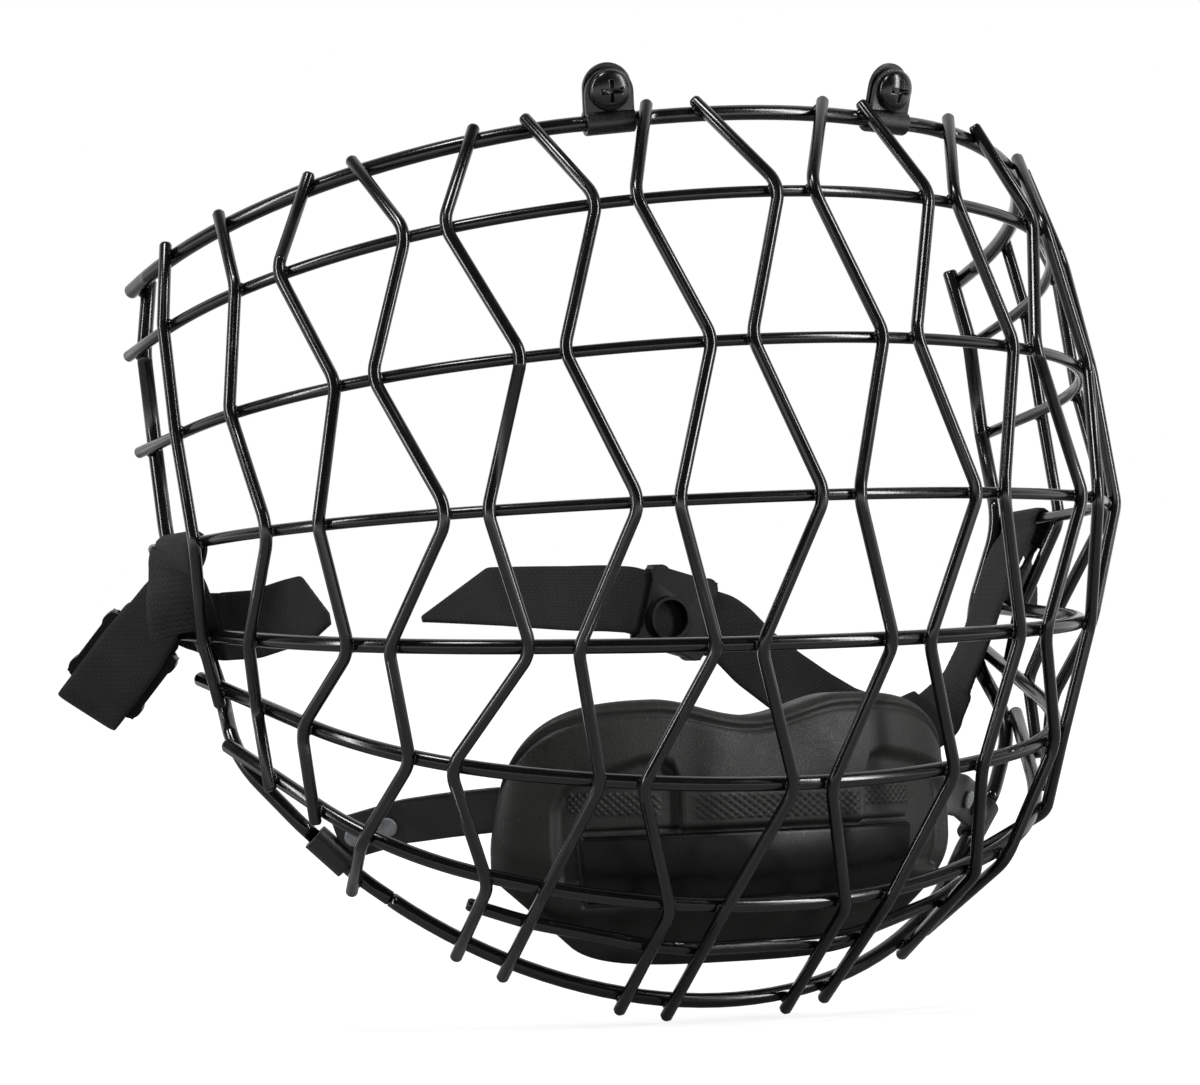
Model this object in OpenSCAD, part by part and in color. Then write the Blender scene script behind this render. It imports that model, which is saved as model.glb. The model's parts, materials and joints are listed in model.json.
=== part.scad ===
// Face mask for ringette: a welded cage of bent steel wires with two forehead clips,
// a moulded chin cup on its strap, and two webbing side straps.
// The origin is the front centre of the top rim wire; the face looks along -Y and +Z is up.
// Cross wires are numbered from the top rim (0) down to the jaw wire (8).
// Face wires run down over them and are numbered from the middle (1) out to the ear (8).

/* [Wire] */
// Diameter of the top rim wire
rim_d = 3.4; // [3:0.1:4]
// Diameter of the three cross wires over the eyes and cheeks
cheek_d = 2.6; // [2.2:0.1:3.2]
// Diameter of the cross wires below the cheeks
lower_d = 3.3; // [2.8:0.1:4]
// Diameter of the short cross wire under the chin
chin_wire_d = 3; // [2.6:0.1:3.6]
// Diameter of the edge wire that runs round the ears and the jaw
edge_d = 3.4; // [3:0.1:4]
// Diameter of the face wires
face_d = 2.8; // [2.4:0.1:3.4]
// How far two welded wires sink into each other
weld_bite = 0.22; // [0.1:0.02:0.4]
// Centreline radius of the bends in the face wires
bend_r = 8; // [5:0.5:11]
// Centreline radius of the gentle bends along the ear edge
edge_bend_r = 24; // [20:1:26]
// How far the top ends of the face wires stand past the wires they end on
top_tip = 0.6; // [0.6:0.2:3]
// How far the bottom ends of the face wires stand past the wires they end on
bottom_tip = 1.4; // [0.8:0.2:4]
// How far the ends of the cross wires stand past the edge wire
cross_tip = 3; // [2:0.5:5]
// Length of the rounded-over tip of a cut wire end
tip_round = 0.6; // [0.3:0.1:1]

/* [Cross wires, from the top rim down] */
// Height of each wire's front, from the top rim
cross_z = [0, -18, -50.5, -85, -117, -148, -175, -187, -197];
// Place of each wire's front, from the top rim towards the back
cross_y = [0, -13, -22, -29, -22, -13, 0, 12.5, 25];
// Slope of each wire's plane, rising towards the back
cross_tilt = [-20, -16.5, -10.5, -4, 3, 16, 30.5, 42.5, 50];
// Radius of each wire's front
front_r = [124, 128, 134, 138, 138, 138, 132, 120, 97];
// Angle of half of each wire's front, from the middle to the cheek
front_a = [26, 29.5, 32, 33, 29.5, 27, 30, 36.5, 45.5];
// Radius of each wire's cheek corner
corner_r = [96, 94, 84, 76, 67, 61, 61, 64, 68];
// Heading of each wire's side run, from the X axis
side_a = [89, 88, 88, 87, 84, 78, 69, 67, 50];

/* [Face wires] */
// Distance along each cross wire from its middle to its first pair of face wires beside the middle
first_pair = [21.5, 41.5, 21, 42, 21.5, 44, 21.5, 0, 20.5];
// Distance along each cross wire from one pair to the next
pair_pitch = [38.5, 41.5, 41.5, 41, 40.5, 41, 40.5, 0, 38];
// Distance between the two wires of a pair
pair_gap = [12.5, 9.5, 10, 9.5, 11, 10, 12.5, 0, 11];
// Where the three wires nearest the ear cross each cross wire, from its middle
ear_wires = [
    [104, 117.5, 108.5, 116.5, 107.5, 117.5, 109.5],
    [127.5, 130, 137, 131, 137.5, 134, 124],
    [146, 155, 158, 158, 156.5, 148.5],
];

/* [Edge wire] */
// Straight side run of each cross wire, from its cheek corner to the edge wire
side_run = [3, 12.5, 21, 27.5, 33, 36.5, 26.5];
// Straight run of the edge wire along the jaw, from its cheek corner to its first bend
jaw_run = 8; // [7:0.5:9]
// Where the edge wire leaves the jaw and turns up towards the ear, on the left side
jaw_bend = [90, 55.5, -154.5];

/* [Forehead clips] */
// Gap along the top rim between a clip and the face wire beside it
clip_gap = 0.9; // [0.9:0.1:3]
// Width of a clip along the rim
clip_w = 11.2; // [10:0.2:13]
// Thickness of a clip's folded strip
clip_t = 1; // [0.8:0.1:1.2]
// Height of a clip's front leaf above the middle of the rim wire
leaf_h = 12; // [11.9:0.1:15]
// How much taller the back leaf is
back_leaf_extra = 1; // [0:0.1:2]
// Gap between the two leaves
leaf_gap = 0.6; // [0.4:0.1:1]
// Angle that the leaves lean forward as the mask is shown
clip_lean = 12; // [0:1:20]
// Radial play between a folded strip and the wire that it turns on
turn_play = 0.08; // [0.04:0.01:0.1]

/* [Clip screws] */
// Height of a screw above the middle of the rim wire
screw_at = 7.2; // [7.2:0.1:7.6]
// Diameter over the thread
screw_d = 4; // [3.5:0.1:4.2]
// Length under the head
screw_l = 6.6; // [6:0.1:16]
// Diameter of the head
screw_head_d = 9.3; // [8:0.1:10]
// Height of the head
screw_head_h = 2.6; // [2:0.1:3]
// Radial play of the screw in the clip
screw_play = 0.2; // [0.1:0.05:0.4]
// Diameter of the plain neck between the head and the thread
screw_neck_d = 3.4; // [3:0.1:3.6]
// How far the neck stands out of the back of the clip
screw_neck_past = 0.3; // [0.2:0.1:0.5]

/* [Chin cup] */
// Half of the cup's width
cup_half_w = 58.4; // [56:0.2:59]
// Place of the widest part from the top rim towards the back
cup_y = 25.5; // [25:0.5:28]
// How far the front bulges out before the widest part
cup_bulge = 17.5; // [16:0.5:18]
// Angle that each side wraps round
cup_wrap = 94; // [90:1:96]
// Height of the two humps of the top edge, from the top rim
cup_hump_z = -129; // [-131:0.5:-128]
// Depth of the saddle between the humps
saddle_depth = 4.2; // [3:0.5:7]
// Height of the bottom edge, from the top rim
cup_bottom_z = -188.5; // [-189:0.5:-184]
// Thickness of the wall at the front
cup_wall = 8; // [6:0.5:9]
// Thickness of the wall at the side edges
cup_edge_wall = 4.5; // [3.5:0.5:6]
// Height of the top edge of the smooth band, from the top rim
band_z = -158.5; // [-160:0.5:-156]
// Width of the smooth band
band_w = 15.5; // [12:0.5:16]
// Thickness of the smooth band
band_t = 1.2; // [0.8:0.1:1.5]
// Angle that the band reaches to each side
band_reach = 47; // [40:1:52]

/* [Chin strap] */
// Width of the strap
chin_strap_w = 10; // [8:0.5:10.5]
// Thickness of the strap
chin_strap_t = 1.4; // [1:0.1:1.6]
// Distance along the edge wire from its jaw bend down to the strap's loop
chin_loop_at = 9; // [8.8:0.1:9.4]
// Distance of each rivet from the end of the strap near the loop
rivet_at = [3, 11];
// Diameter of a rivet's head
rivet_head_d = 4.4; // [3.5:0.1:5]
// Thickness of a rivet's head
rivet_head_h = 0.9; // [0.6:0.1:1.2]
// Diameter of a rivet's shank
rivet_d = 2; // [1.6:0.1:2.4]

/* [Side straps] */
// Width of the webbing
webbing_w = 15.3; // [14:0.1:15.5]
// Thickness of the webbing
webbing_t = 1.6; // [1.2:0.1:1.8]
// Place of a strap along cross wire 3, from the wire's middle
strap_at = 168.4; // [168:0.1:168.6]
// Length of a strap's slider
slider_l = 18; // [14:0.5:20]
// Height of a strap's slider, across the webbing
slider_h = 19.5; // [19:0.5:22]
// Thickness of a strap's slider
slider_t = 4.2; // [4:0.1:4.6]
// Clearance of the webbing in a slider
slider_play = 0.35; // [0.3:0.05:0.4]
// Outer diameter of the ring on a slider
ring_d = 10.4; // [9:0.2:11]
// Diameter of the hole in the ring
ring_hole_d = 8.4; // [7:0.2:8.6]

/* [Hidden] */
$fn = 32;
eps = 0.01;
steel_black = "#1c1c1f";
clip_beside = 2;
clip_seat = clip_w + 2;
chin_wire_last = 4;
chin_wire_down = 0.42;
chin_tip = 2.5;
chin_bend_r = 50;
// Extra diameter of every other stretch of a wire, and how far its neighbours reach into it
bend_swell = 0.04;
run_in = 0.3;
// Rim of a screw's head under its dome, and the cross recess in it
head_rim = 0.6;
recess_l = 5;
recess_w = 1.1;
recess_deep = 1.5;
// Shape of the chin cup: its humps and shoulders, its lean at the top and its half width at the bottom
hump_at = 26;
shoulder_drop = 25;
shoulder_curve = 2.6;
cup_side_rise = 13;
cup_lean = 2;
cup_low_half_w = 42.4;
cup_floor = 5;
cup_columns = 22;
band_columns = 12;
band_step = 0.8;
band_gap = 0.2;
// Where the chin strap meets the cup's side, and its gap to its loop
cup_side = [cup_half_w - 2.4, cup_y + 3.5, -152];
chin_loop_gap = 0.7;
// Middle of the left chin strap from near its loop to behind the cup's side, with its width's direction;
// its places are from the end of the cup's face, at the height of the top rim
cup_end = [cup_half_w * sin(cup_wrap), cup_y - cup_bulge * cos(cup_wrap), 0];
chin_route = [
    [[5.7, 8.1, -153.2], [0.1, 0.1, 1]],
    [[-2.3, 2.7, -152.4], [0, 0, 1]],
    [[-6.1, 0.4, -152.2], [0, 0, 1]],
    [[-7.9, -2.2, -152], [0, 0, 1]],
    [[-10.1, -4.5, -152], [0, 0, 1]],
];
// Direction of the strap's flat end with the rivets, and its length
chin_flat_run = [-0.69, -0.68, 0.25];
chin_flat_l = 14.5;
// Both side straps, on the left side: the short end that hangs outside the loop
short_end = [
    [[108.8, 72.6, -111.8], [0.85, 0.42, -0.42], 1, true],
    [[109.9, 72, -107.5], [0.85, 0.52, -0.1]],
    [[111.2, 71.1, -102], [0.6, 0.8, 0]],
    [[112.3, 71.2, -97], [0.25, 0.97, 0]],
];
// The near strap: out under its wire and back past the ear edge to its fold, then forward inside it
near_run = [
    [[109.4, 71.5, -96.5], [0.1, 1, 0], 0.8, true],
    [[110.3, 74.5, -99.5], [0.38, 0.66, 0.65], 0.55],
    [[111, 78.5, -104], [0.49, 0.5, 0.71], 0.75],
    [[112.2, 82.3, -109], [0.55, 0.5, 0.65], 0.9],
    [[115, 86, -114.5], [0.65, 0.5, 0.57]],
    [[118.3, 89.8, -120.5], [0.7, 0.45, 0.55]],
];
near_fold = [122.2, 94.1, -127.2];
near_fold_across = [0.72, 0.4, 0.56];
near_fold_r = 2.2;
near_tail_l = 22.5;
near_slider_at = 11;
near_tail = [
    [[108, 87.8, -108.6], [0.62, 0.37, 0.69], 0.8],
    [[104.5, 87.4, -108], [0.4, 0.25, 0.88], 0.7],
    [[100.5, 85, -109], [0.2, 0.15, 0.97], 0.85],
    [[96.8, 79, -110.4], [0.05, 0.05, 1]],
    [[93.5, 68, -110], [0, 0, 1]],
    [[91, 57, -107.8], [0, 0, 1]],
    [[89.8, 50.4, -106.8], [0, 0.28, 0.96], 1, true],
    [[88.2, 43, -109], [0, 0.28, 0.96], 0.2, true],
];
// The far strap: down inside the mask, behind the chin cup and across to its slider
far_run = [
    [[105.5, 70.2, -98], [0, 1, 0]],
    [[102, 70, -104], [0.05, 1, 0]],
    [[99, 70, -110.5], [0.1, 0.98, 0.05]],
    [[96.8, 70.5, -117], [0.15, 0.95, 0.15]],
    [[94.6, 72.5, -123.5], [0.2, 0.9, 0.3]],
    [[92.6, 75, -130], [0.2, 0.8, 0.5]],
    [[88.5, 76.5, -135.8], [0.15, 0.55, 0.8]],
    [[81.5, 77.5, -139.6], [0.1, 0.2, 0.96]],
    [[72, 77.5, -139.5], [0.15, 0, 0.98]],
    [[63.5, 77.3, -136.6], [0.35, 0, 0.93]],
    [[56, 77, -132.6], [0.5, 0, 0.86]],
    [[47.5, 77, -127.2], [0.53, 0, 0.85]],
    [[39.5, 77, -121.5], [0.5, 0, 0.87]],
    [[34, 77, -116.2], [0.3, 0, 0.95]],
    [[31, 77, -114.2], [0.275, 0, 0.96]],
    [[7, 77, -107.3], [0.275, 0, 0.96]],
    [[0.5, 77, -106.8], [0.1, 0.1, 1]],
    [[-8, 77, -106.6], [0, 0.25, 0.97]],
    [[-28, 77, -105.6], [0, 0.5, 0.87], 1, true],
    [[-48.4, 73.8, -110], [0, 0.5, 0.87], 0.1, true],
];
far_slider_run = [-0.96, 0, 0.275];
far_slider_at = [18.6, 77, -110.64];
foam_black = "#242424";
band_black = "#141414";
vinyl_black = "#2a2a2c";
rivet_seat_gap = 0.05;
rivet_play = 0.1;
ring_rise = 1.6;
ring_along = 2.3;
ring_across = 2;
// Radius of a slider's four corners, and how far they stand out from its edges
slider_corner_r = 2.6;
slider_corner_out = 0.5;
webbing_black = "#232225";
plastic_black = "#1b1b1d";
rivet_grey = "#6d6f70";
cross_d = [rim_d, cheek_d, cheek_d, cheek_d, lower_d, lower_d, lower_d, chin_wire_d, edge_d];
last_row = [8, 8, 8, 8, 8, 6, 6, 5];

function unit(v) = v / norm(v);
function radians(a) = a * PI / 180;
function degrees(a) = a * 180 / PI;

// Distance along the top rim from its middle to each clip
clip_at = face_at(clip_beside, 0) + face_d / 2 + clip_gap + clip_w / 2;

// Length of wire in an arc
function arc_length(r, a) = r * radians(a);

// Stretches of a cross wire from its middle outwards, each [length, angle turned];
// the top rim is straight where the clips swivel on it
function stretches(row) =
    let (
        front = arc_length(front_r[row], front_a[row]),
        turn_to_clip = degrees((clip_at - clip_seat / 2) / front_r[row]),
        corner = [arc_length(corner_r[row], side_a[row] - front_a[row]), side_a[row] - front_a[row]],
        side = [cross_wire_side(row), 0]
    )
    row > 0
    ? [[front, front_a[row]], corner, side]
    : [
        [clip_at - clip_seat / 2, turn_to_clip],
        [clip_seat, 0],
        [front - clip_at - clip_seat / 2, front_a[row] - turn_to_clip],
        corner,
        side
    ];
function cross_wire_side(row) = row < len(side_run) ? side_run[row] + cross_tip : jaw_run;
function total(list, i = 0) = i == len(list) ? 0 : list[i][0] + total(list, i + 1);
function edge_at(row) = total(stretches(row)) - cross_tip;

// One step along a stretch from [x, y, heading]
function step(at, length, turn) =
    abs(turn) < eps
    ? [at.x + length * cos(at[2]), at.y + length * sin(at[2]), at[2]]
    : let (r = length / radians(turn), a = at[2])
      [at.x + r * (sin(a + turn) - sin(a)), at.y + r * (cos(a) - cos(a + turn)), a + turn];

// Place and heading at a distance along a list of stretches
function along(list, s, at = [0, 0, 0], i = 0) =
    i == len(list) - 1 || s <= list[i][0]
    ? step(at, s, list[i][1] * s / list[i][0])
    : along(list, s - list[i][0], step(at, list[i][0], list[i][1]), i + 1);

// A point of a wire's own plane, in space
function lift(row, x, y) = [
    x,
    cross_y[row] + y * cos(cross_tilt[row]),
    cross_z[row] + y * sin(cross_tilt[row])
];
function on_cross(row, s) = let (p = along(stretches(row), s)) lift(row, p.x, p.y);
function cross_heading(row, s) =
    let (a = along(stretches(row), s)[2])
    [cos(a), sin(a) * cos(cross_tilt[row]), sin(a) * sin(cross_tilt[row])];

// Distance from the middle of a cross wire to where a face wire crosses it
function face_at(wire, row) =
    wire > 5 ? ear_wires[wire - 6][row] :
    let (
        odd = row % 2,
        pair = floor((wire - 1 + odd) / 2),
        side = (wire + odd) % 2 == 1 ? -1 : 1,
        centre = odd == 1 && pair == 0 ? 0 : first_pair[row] + (pair - odd) * pair_pitch[row]
    )
    centre + side * pair_gap[row] / 2;

// Rows that a face wire is welded to, leaving out the short wire under the chin
function face_rows(wire) = [for (row = [0:last_row[wire - 1]]) if (row != 7) row];
function raw_path(wire) = [for (row = face_rows(wire)) on_cross(row, face_at(wire, row))];
function ahead(path, i) = path[min(i + 1, len(path) - 1)] - path[max(i - 1, 0)];
function outwards(row, s, run) = unit(cross(run, cross_heading(row, s)));

// How far apart the centrelines of two welded wires lie
function welded(d1, d2) = (d1 + d2) / 2 - weld_bite;

// Centreline points of a face wire where it lies on the cross wires
function face_contacts(wire) =
    let (raw = raw_path(wire), rows = face_rows(wire))
    [for (i = [0:len(rows) - 1])
        let (row = rows[i], s = face_at(wire, row))
        raw[i] + outwards(row, s, ahead(raw, i)) * welded(cross_d[row], face_d)];

// Corner of a bend, near the corner given, whose arc's middle passes through the point p
function corner_for(before, corner, after, p, r) =
    let (
        u = unit(corner - before),
        w = unit(after - corner),
        half = acos(min(1, u * w)) / 2
    )
    half < 0.05 ? p : p + unit(u - w) * r * (1 / cos(half) - 1);

// Corners of all bends; each one moves its neighbours a little, so they are found three times over
function corners_near(p, q, r) = [for (i = [0:len(p) - 1])
    i == 0 || i == len(p) - 1 ? p[i] : corner_for(q[i - 1], q[i], q[i + 1], p[i], r)];
function bend_corners(p, r) = corners_near(p, corners_near(p, corners_near(p, p, r), r), r);

// The path with both ends moved out by the given lengths
function stretched(p, first, last) = let (n = len(p) - 1) [for (i = [0:n])
    i == 0 ? p[0] - unit(p[1] - p[0]) * first :
    i == n ? p[n] + unit(p[n] - p[n - 1]) * last : p[i]];

function face_path(wire) =
    let (rows = face_rows(wire))
    stretched(
        bend_corners(face_contacts(wire), bend_r),
        rim_d / 2 + top_tip,
        cross_d[rows[len(rows) - 1]] / 2 + bottom_tip
    );

// The edge wire from its cheek corner up to the top rim, inside the ends of the cross wires
function edge_path() =
    let (
        jaw = stretches(8),
        corner = jaw[0][0] + jaw[1][0],
        raw = [for (row = [6:-1:0]) on_cross(row, edge_at(row))],
        contacts = [for (i = [0:6])
            raw[i] + outwards(6 - i, edge_at(6 - i), ahead(raw, i)) * welded(cross_d[6 - i], edge_d)]
    )
    concat(
        [on_cross(8, corner), on_cross(8, corner + jaw_run), jaw_bend],
        stretched(contacts, 0, rim_d / 2 + tip_round)
    );

// The chin wire lies inside the face wires near the middle, where they run straight
function chin_contacts() = [for (wire = [chin_wire_last:-1:1])
    let (
        p = face_path(wire),
        a = p[len(p) - 2],
        b = p[len(p) - 1],
        here = a + (b - a) * chin_wire_down,
        run = on_cross(7, face_at(wire, 6) + 1) - on_cross(7, face_at(wire, 6))
    )
    here - unit(cross(b - a, run)) * welded(chin_wire_d, face_d)];

// Straight round bar from one point to another, with either end cut and rounded over
module bar(a, b, d, cut_a = false, cut_b = false) {
    v = b - a;
    r = d / 2;
    n = norm(v);
    start = cut_a ? tip_round : 0;
    stop = cut_b ? tip_round : 0;
    translate(a) rotate([0, acos(v.z / n), atan2(v.y, v.x)]) rotate_extrude()
        polygon([[0, 0], [r - 0.6 * start, 0], [r, start], [r, n - stop], [r - 0.6 * stop, n], [0, n]]);
}

// Length of straight wire that a bend takes up at a corner
function bend_reach(p, i, r) =
    i == 0 || i == len(p) - 1 ? 0 :
    r * tan(acos(min(1, unit(p[i] - p[i - 1]) * unit(p[i + 1] - p[i]))) / 2);

// Round wire along straight runs joined by bends of one radius, a hair thicker at the bends
module bent_wire(p, d, r) {
    n = len(p) - 1;
    for (i = [0:n - 1]) {
        run = unit(p[i + 1] - p[i]);
        from = i == 0 ? 0 : bend_reach(p, i, r) - run_in;
        to = i == n - 1 ? 0 : bend_reach(p, i + 1, r) - run_in;
        bar(p[i] + run * from, p[i + 1] - run * to, d, i == 0, i == n - 1);
    }
    for (i = [1:n - 1]) {
        u = unit(p[i] - p[i - 1]);
        w = unit(p[i + 1] - p[i]);
        turn = acos(min(1, u * w));
        inner = unit(w - u * (u * w));
        centre = p[i] - u * bend_reach(p, i, r) + inner * r;
        axis = cross(-inner, u);
        multmatrix([
            [-inner.x, u.x, axis.x, centre.x],
            [-inner.y, u.y, axis.y, centre.y],
            [-inner.z, u.z, axis.z, centre.z],
            [0, 0, 0, 1]
        ]) rotate_extrude(angle = turn) translate([r, 0]) circle(d = d + bend_swell);
    }
}

// Arc of wire in a plane, from a place and heading; its ends reach on by the given lengths
module arc_run(at, length, turn, d, before, after) {
    r = length / radians(turn);
    translate([at.x, at.y, 0]) rotate([0, 0, at[2]]) translate([0, r, 0])
        rotate([0, 0, -90 - degrees(before / r)])
            rotate_extrude(angle = turn + degrees((before + after) / r))
                translate([r, 0]) circle(d = d);
}

// Stretches of wire on one side of the middle; every other one is a hair thicker
module side_stretches(list, d) {
    starts = [for (i = 0, s = 0; i < len(list); s = s + list[i][0], i = i + 1) s];
    for (i = [1:len(list) - 1]) {
        at = along(list, starts[i]);
        thick = i % 2 == 1;
        reach = thick ? 0 : run_in;
        is_last = i == len(list) - 1;
        if (list[i][1] == 0) {
            heading = [cos(at[2]), sin(at[2]), 0];
            a = [at.x, at.y, 0] - heading * reach;
            b = [at.x, at.y, 0] + heading * (list[i][0] + (is_last ? 0 : reach));
            bar(a, b, thick ? d + bend_swell : d, false, is_last);
        } else {
            arc_run(at, list[i][0], list[i][1], thick ? d + bend_swell : d, reach, is_last ? 0 : reach);
        }
    }
}

// A wire bent in its own plane, alike on both sides of its middle
module plane_wire(row, list) {
    first = list[0];
    start = along(list, first[0]);
    translate([0, cross_y[row], cross_z[row]]) rotate([cross_tilt[row], 0, 0]) {
        arc_run([-start.x, start.y, -start[2]], 2 * first[0], 2 * first[1], cross_d[row], run_in, run_in);
        side_stretches(list, cross_d[row]);
        mirror([1, 0, 0]) side_stretches(list, cross_d[row]);
    }
}

module cross_wire(row) {
    color(steel_black) plane_wire(row, stretches(row));
}

module chin_wire() {
    half = chin_contacts();
    others = [for (i = [len(half) - 1:-1:0]) [-half[i].x, half[i].y, half[i].z]];
    path = stretched(concat([for (p = half) p], others), chin_tip, chin_tip);
    color(steel_black) bent_wire(bend_corners(path, chin_bend_r), chin_wire_d, chin_bend_r);
}

module edge_wire() {
    jaw = stretches(8);
    color(steel_black) {
        plane_wire(8, [jaw[0], jaw[1]]);
        for (half = [0, 1]) mirror([half, 0, 0])
            bent_wire(bend_corners(edge_path(), edge_bend_r), edge_d, edge_bend_r);
    }
}

module face_wire(wire) {
    color(steel_black) bent_wire(face_path(wire), face_d, bend_r);
}

// Puts a shape drawn on the X, Y and Z axes at a place, along three square directions
module placed(p, x, y, z) {
    multmatrix([
        [x.x, y.x, z.x, p.x],
        [x.y, y.y, z.y, p.y],
        [x.z, y.z, z.z, p.z],
        [0, 0, 0, 1]
    ]) children();
}

// Sleeve of a folded strip round a wire along X; its leaves rise along Z and are drawn as children
module folded_strip(width, bore_r, t, gap) {
    outer_r = bore_r + t;
    difference() {
        union() {
            rotate([0, 90, 0]) cylinder(h = width, r = outer_r, center = true);
            children();
        }
        rotate([0, 90, 0]) cylinder(h = width + 2, r = bore_r, center = true);
        translate([-width / 2 - 1, -gap / 2, 0]) cube([width + 2, gap, outer_r + 1]);
    }
}

// Leaf of a clip with a round top, its front face at the given place
module clip_leaf(front, height) {
    translate([0, front + clip_t, 0]) rotate([90, 0, 0]) linear_extrude(clip_t) {
        translate([-clip_w / 2, 0]) square([clip_w, height - clip_w / 2]);
        translate([0, height - clip_w / 2]) circle(d = clip_w);
    }
}

// Axes of the left clip: along the rim wire, back through the leaves, and up them
function clip_axes() =
    let (
        along_rim = cross_heading(0, clip_at),
        upright = unit([0, 0, 1] - along_rim * along_rim.z),
        back = cross(upright, along_rim),
        up = upright * cos(clip_lean) - back * sin(clip_lean)
    )
    [along_rim, cross(up, along_rim), up];

module at_clip() {
    axes = clip_axes();
    placed(on_cross(0, clip_at), axes[0], axes[1], axes[2]) children();
}

module clip() {
    color(steel_black) at_clip() difference() {
        folded_strip(clip_w, (rim_d + bend_swell) / 2 + turn_play, clip_t, leaf_gap) {
            clip_leaf(-leaf_gap / 2 - clip_t, leaf_h);
            clip_leaf(leaf_gap / 2, leaf_h + back_leaf_extra);
        }
        translate([0, 0, screw_at]) rotate([90, 0, 0])
            cylinder(h = 4 * clip_t + leaf_gap, r = screw_d / 2 + screw_play, center = true);
    }
}

// Pan-head screw along Z, its head's underside at the origin and its shank upwards
module screw() {
    head_r = screw_head_d / 2;
    dome_h = screw_head_h - head_rim;
    neck_l = 2 * clip_t + leaf_gap + screw_neck_past;
    dome = [for (a = [0:15:90]) [head_r * sin(a), -head_rim - dome_h * cos(a)]];
    color(steel_black) difference() {
        rotate_extrude() polygon(concat(dome, [
            [head_r, 0],
            [screw_neck_d / 2, 0],
            [screw_neck_d / 2, neck_l],
            [screw_d / 2, neck_l],
            [screw_d / 2, screw_l - tip_round],
            [screw_d / 2 - tip_round, screw_l],
            [0, screw_l]
        ]));
        for (turn = [0, 90]) rotate([0, 0, turn])
            translate([-recess_l / 2, -recess_w / 2, -screw_head_h - 1]) cube([recess_l, recess_w, 1 + recess_deep]);
    }
}

module clip_screw() {
    at_clip() translate([0, -leaf_gap / 2 - clip_t, screw_at]) rotate([-90, 0, 0]) screw();
}

// Solid through a row of rings; each ring runs along the front of a wall and back along its rear
module loft(rings) {
    m = len(rings[0]);
    n = len(rings);
    half = m / 2;
    sides = [for (i = [0:n - 2], k = [0:m - 1])
        let (a = i * m + k, b = i * m + (k + 1) % m)
        each [[a, b, b + m], [a, b + m, a + m]]];
    start = [for (k = [0:half - 2]) each [[k, m - 1 - k, m - 2 - k], [k, m - 2 - k, k + 1]]];
    stop = [for (f = start) [for (v = [2:-1:0]) f[v] + (n - 1) * m]];
    polyhedron(points = [for (r = rings) each r], faces = concat(sides, start, stop));
}

// Top and bottom edges of the chin cup at an angle round it from the middle
function cup_top(a) =
    let (t = abs(a))
    t < hump_at
    ? cup_hump_z - saddle_depth * (1 + cos(180 * t / hump_at)) / 2
    : cup_hump_z - shoulder_drop * pow((t - hump_at) / (cup_wrap - hump_at), shoulder_curve);
function cup_bottom(a) = cup_bottom_z + cup_side_rise * pow(abs(a) / cup_wrap, 3);

// How far the cup's face is drawn in, at a share of the way down it
function cup_draw_in(v) =
    cup_lean * pow(max(0, 1 - v / 0.4), 2) + (cup_half_w - cup_low_half_w) * pow(max(0, (v - 0.5) / 0.5), 2.2);

// A place on the cup at an angle and a height, a depth below its face
function cup_place(a, z, depth) =
    let (v = (cup_top(a) - z) / (cup_top(a) - cup_bottom(a)), in = cup_draw_in(v) + depth)
    [(cup_half_w - in) * sin(a), cup_y - (cup_bulge - in) * cos(a), z];

// Heights at which the cup's wall is drawn at an angle: above, along and below the band
function cup_levels(a, floor_t) =
    let (top = cup_top(a), low = cup_bottom(a) + floor_t, high = band_z + band_step, under = band_z - band_w)
    concat(
        [for (k = [0:3]) top + (high - top) * k / 3],
        [for (k = [0:3]) band_z - band_w * k / 3],
        [for (k = [0:4]) (under - band_step) + (low - under + band_step) * k / 4]
    );
function cup_recess(a, k) = abs(a) <= band_reach + 2 && k >= 4 && k <= 7 ? band_t : 0;
function cup_wall_at(a) = cup_wall + (cup_edge_wall - cup_wall) * abs(a) / cup_wrap;
function cup_ring(a) =
    let (outer = cup_levels(a, 0), inner = cup_levels(a, cup_floor))
    concat(
        [for (k = [0:len(outer) - 1]) cup_place(a, outer[k], cup_recess(a, k))],
        [for (k = [len(inner) - 1:-1:0])
            let (p = cup_place(a, outer[k], cup_wall_at(a))) [p.x, p.y, inner[k]]]
    );

module chin_cup() {
    color(foam_black) loft([for (i = [cup_columns:-1:-cup_columns]) cup_ring(cup_wrap * i / cup_columns)]);
}

// The smooth band lies in its recess across the front of the cup
module chin_cup_band() {
    color(band_black) loft([for (i = [band_columns:-1:-band_columns])
        let (a = band_reach * i / band_columns)
        concat(
            [for (k = [0:3]) cup_place(a, band_level(k), 0)],
            [for (k = [3:-1:0]) cup_place(a, band_level(k), band_t - band_gap)]
        )]);
}
function band_level(k) = band_z - band_gap - (band_w - 2 * band_gap) * k / 3;

// Axes of the left chin strap's loop: along the edge wire, out of the mask, and towards the cup
function chin_loop_place() = let (p = edge_path()) p[2] - unit(p[2] - p[1]) * chin_loop_at;
function chin_loop_axes() =
    let (
        p = edge_path(),
        wire = unit(p[2] - p[1]),
        to_cup = cup_side - chin_loop_place(),
        run = unit(to_cup - wire * (to_cup * wire))
    )
    [wire, cross(run, wire), run];

module at_chin_loop() {
    axes = chin_loop_axes();
    placed(chin_loop_place(), axes[0], axes[1], axes[2]) children();
}

function chin_loop_r() = (edge_d + bend_swell) / 2 + turn_play;

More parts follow.
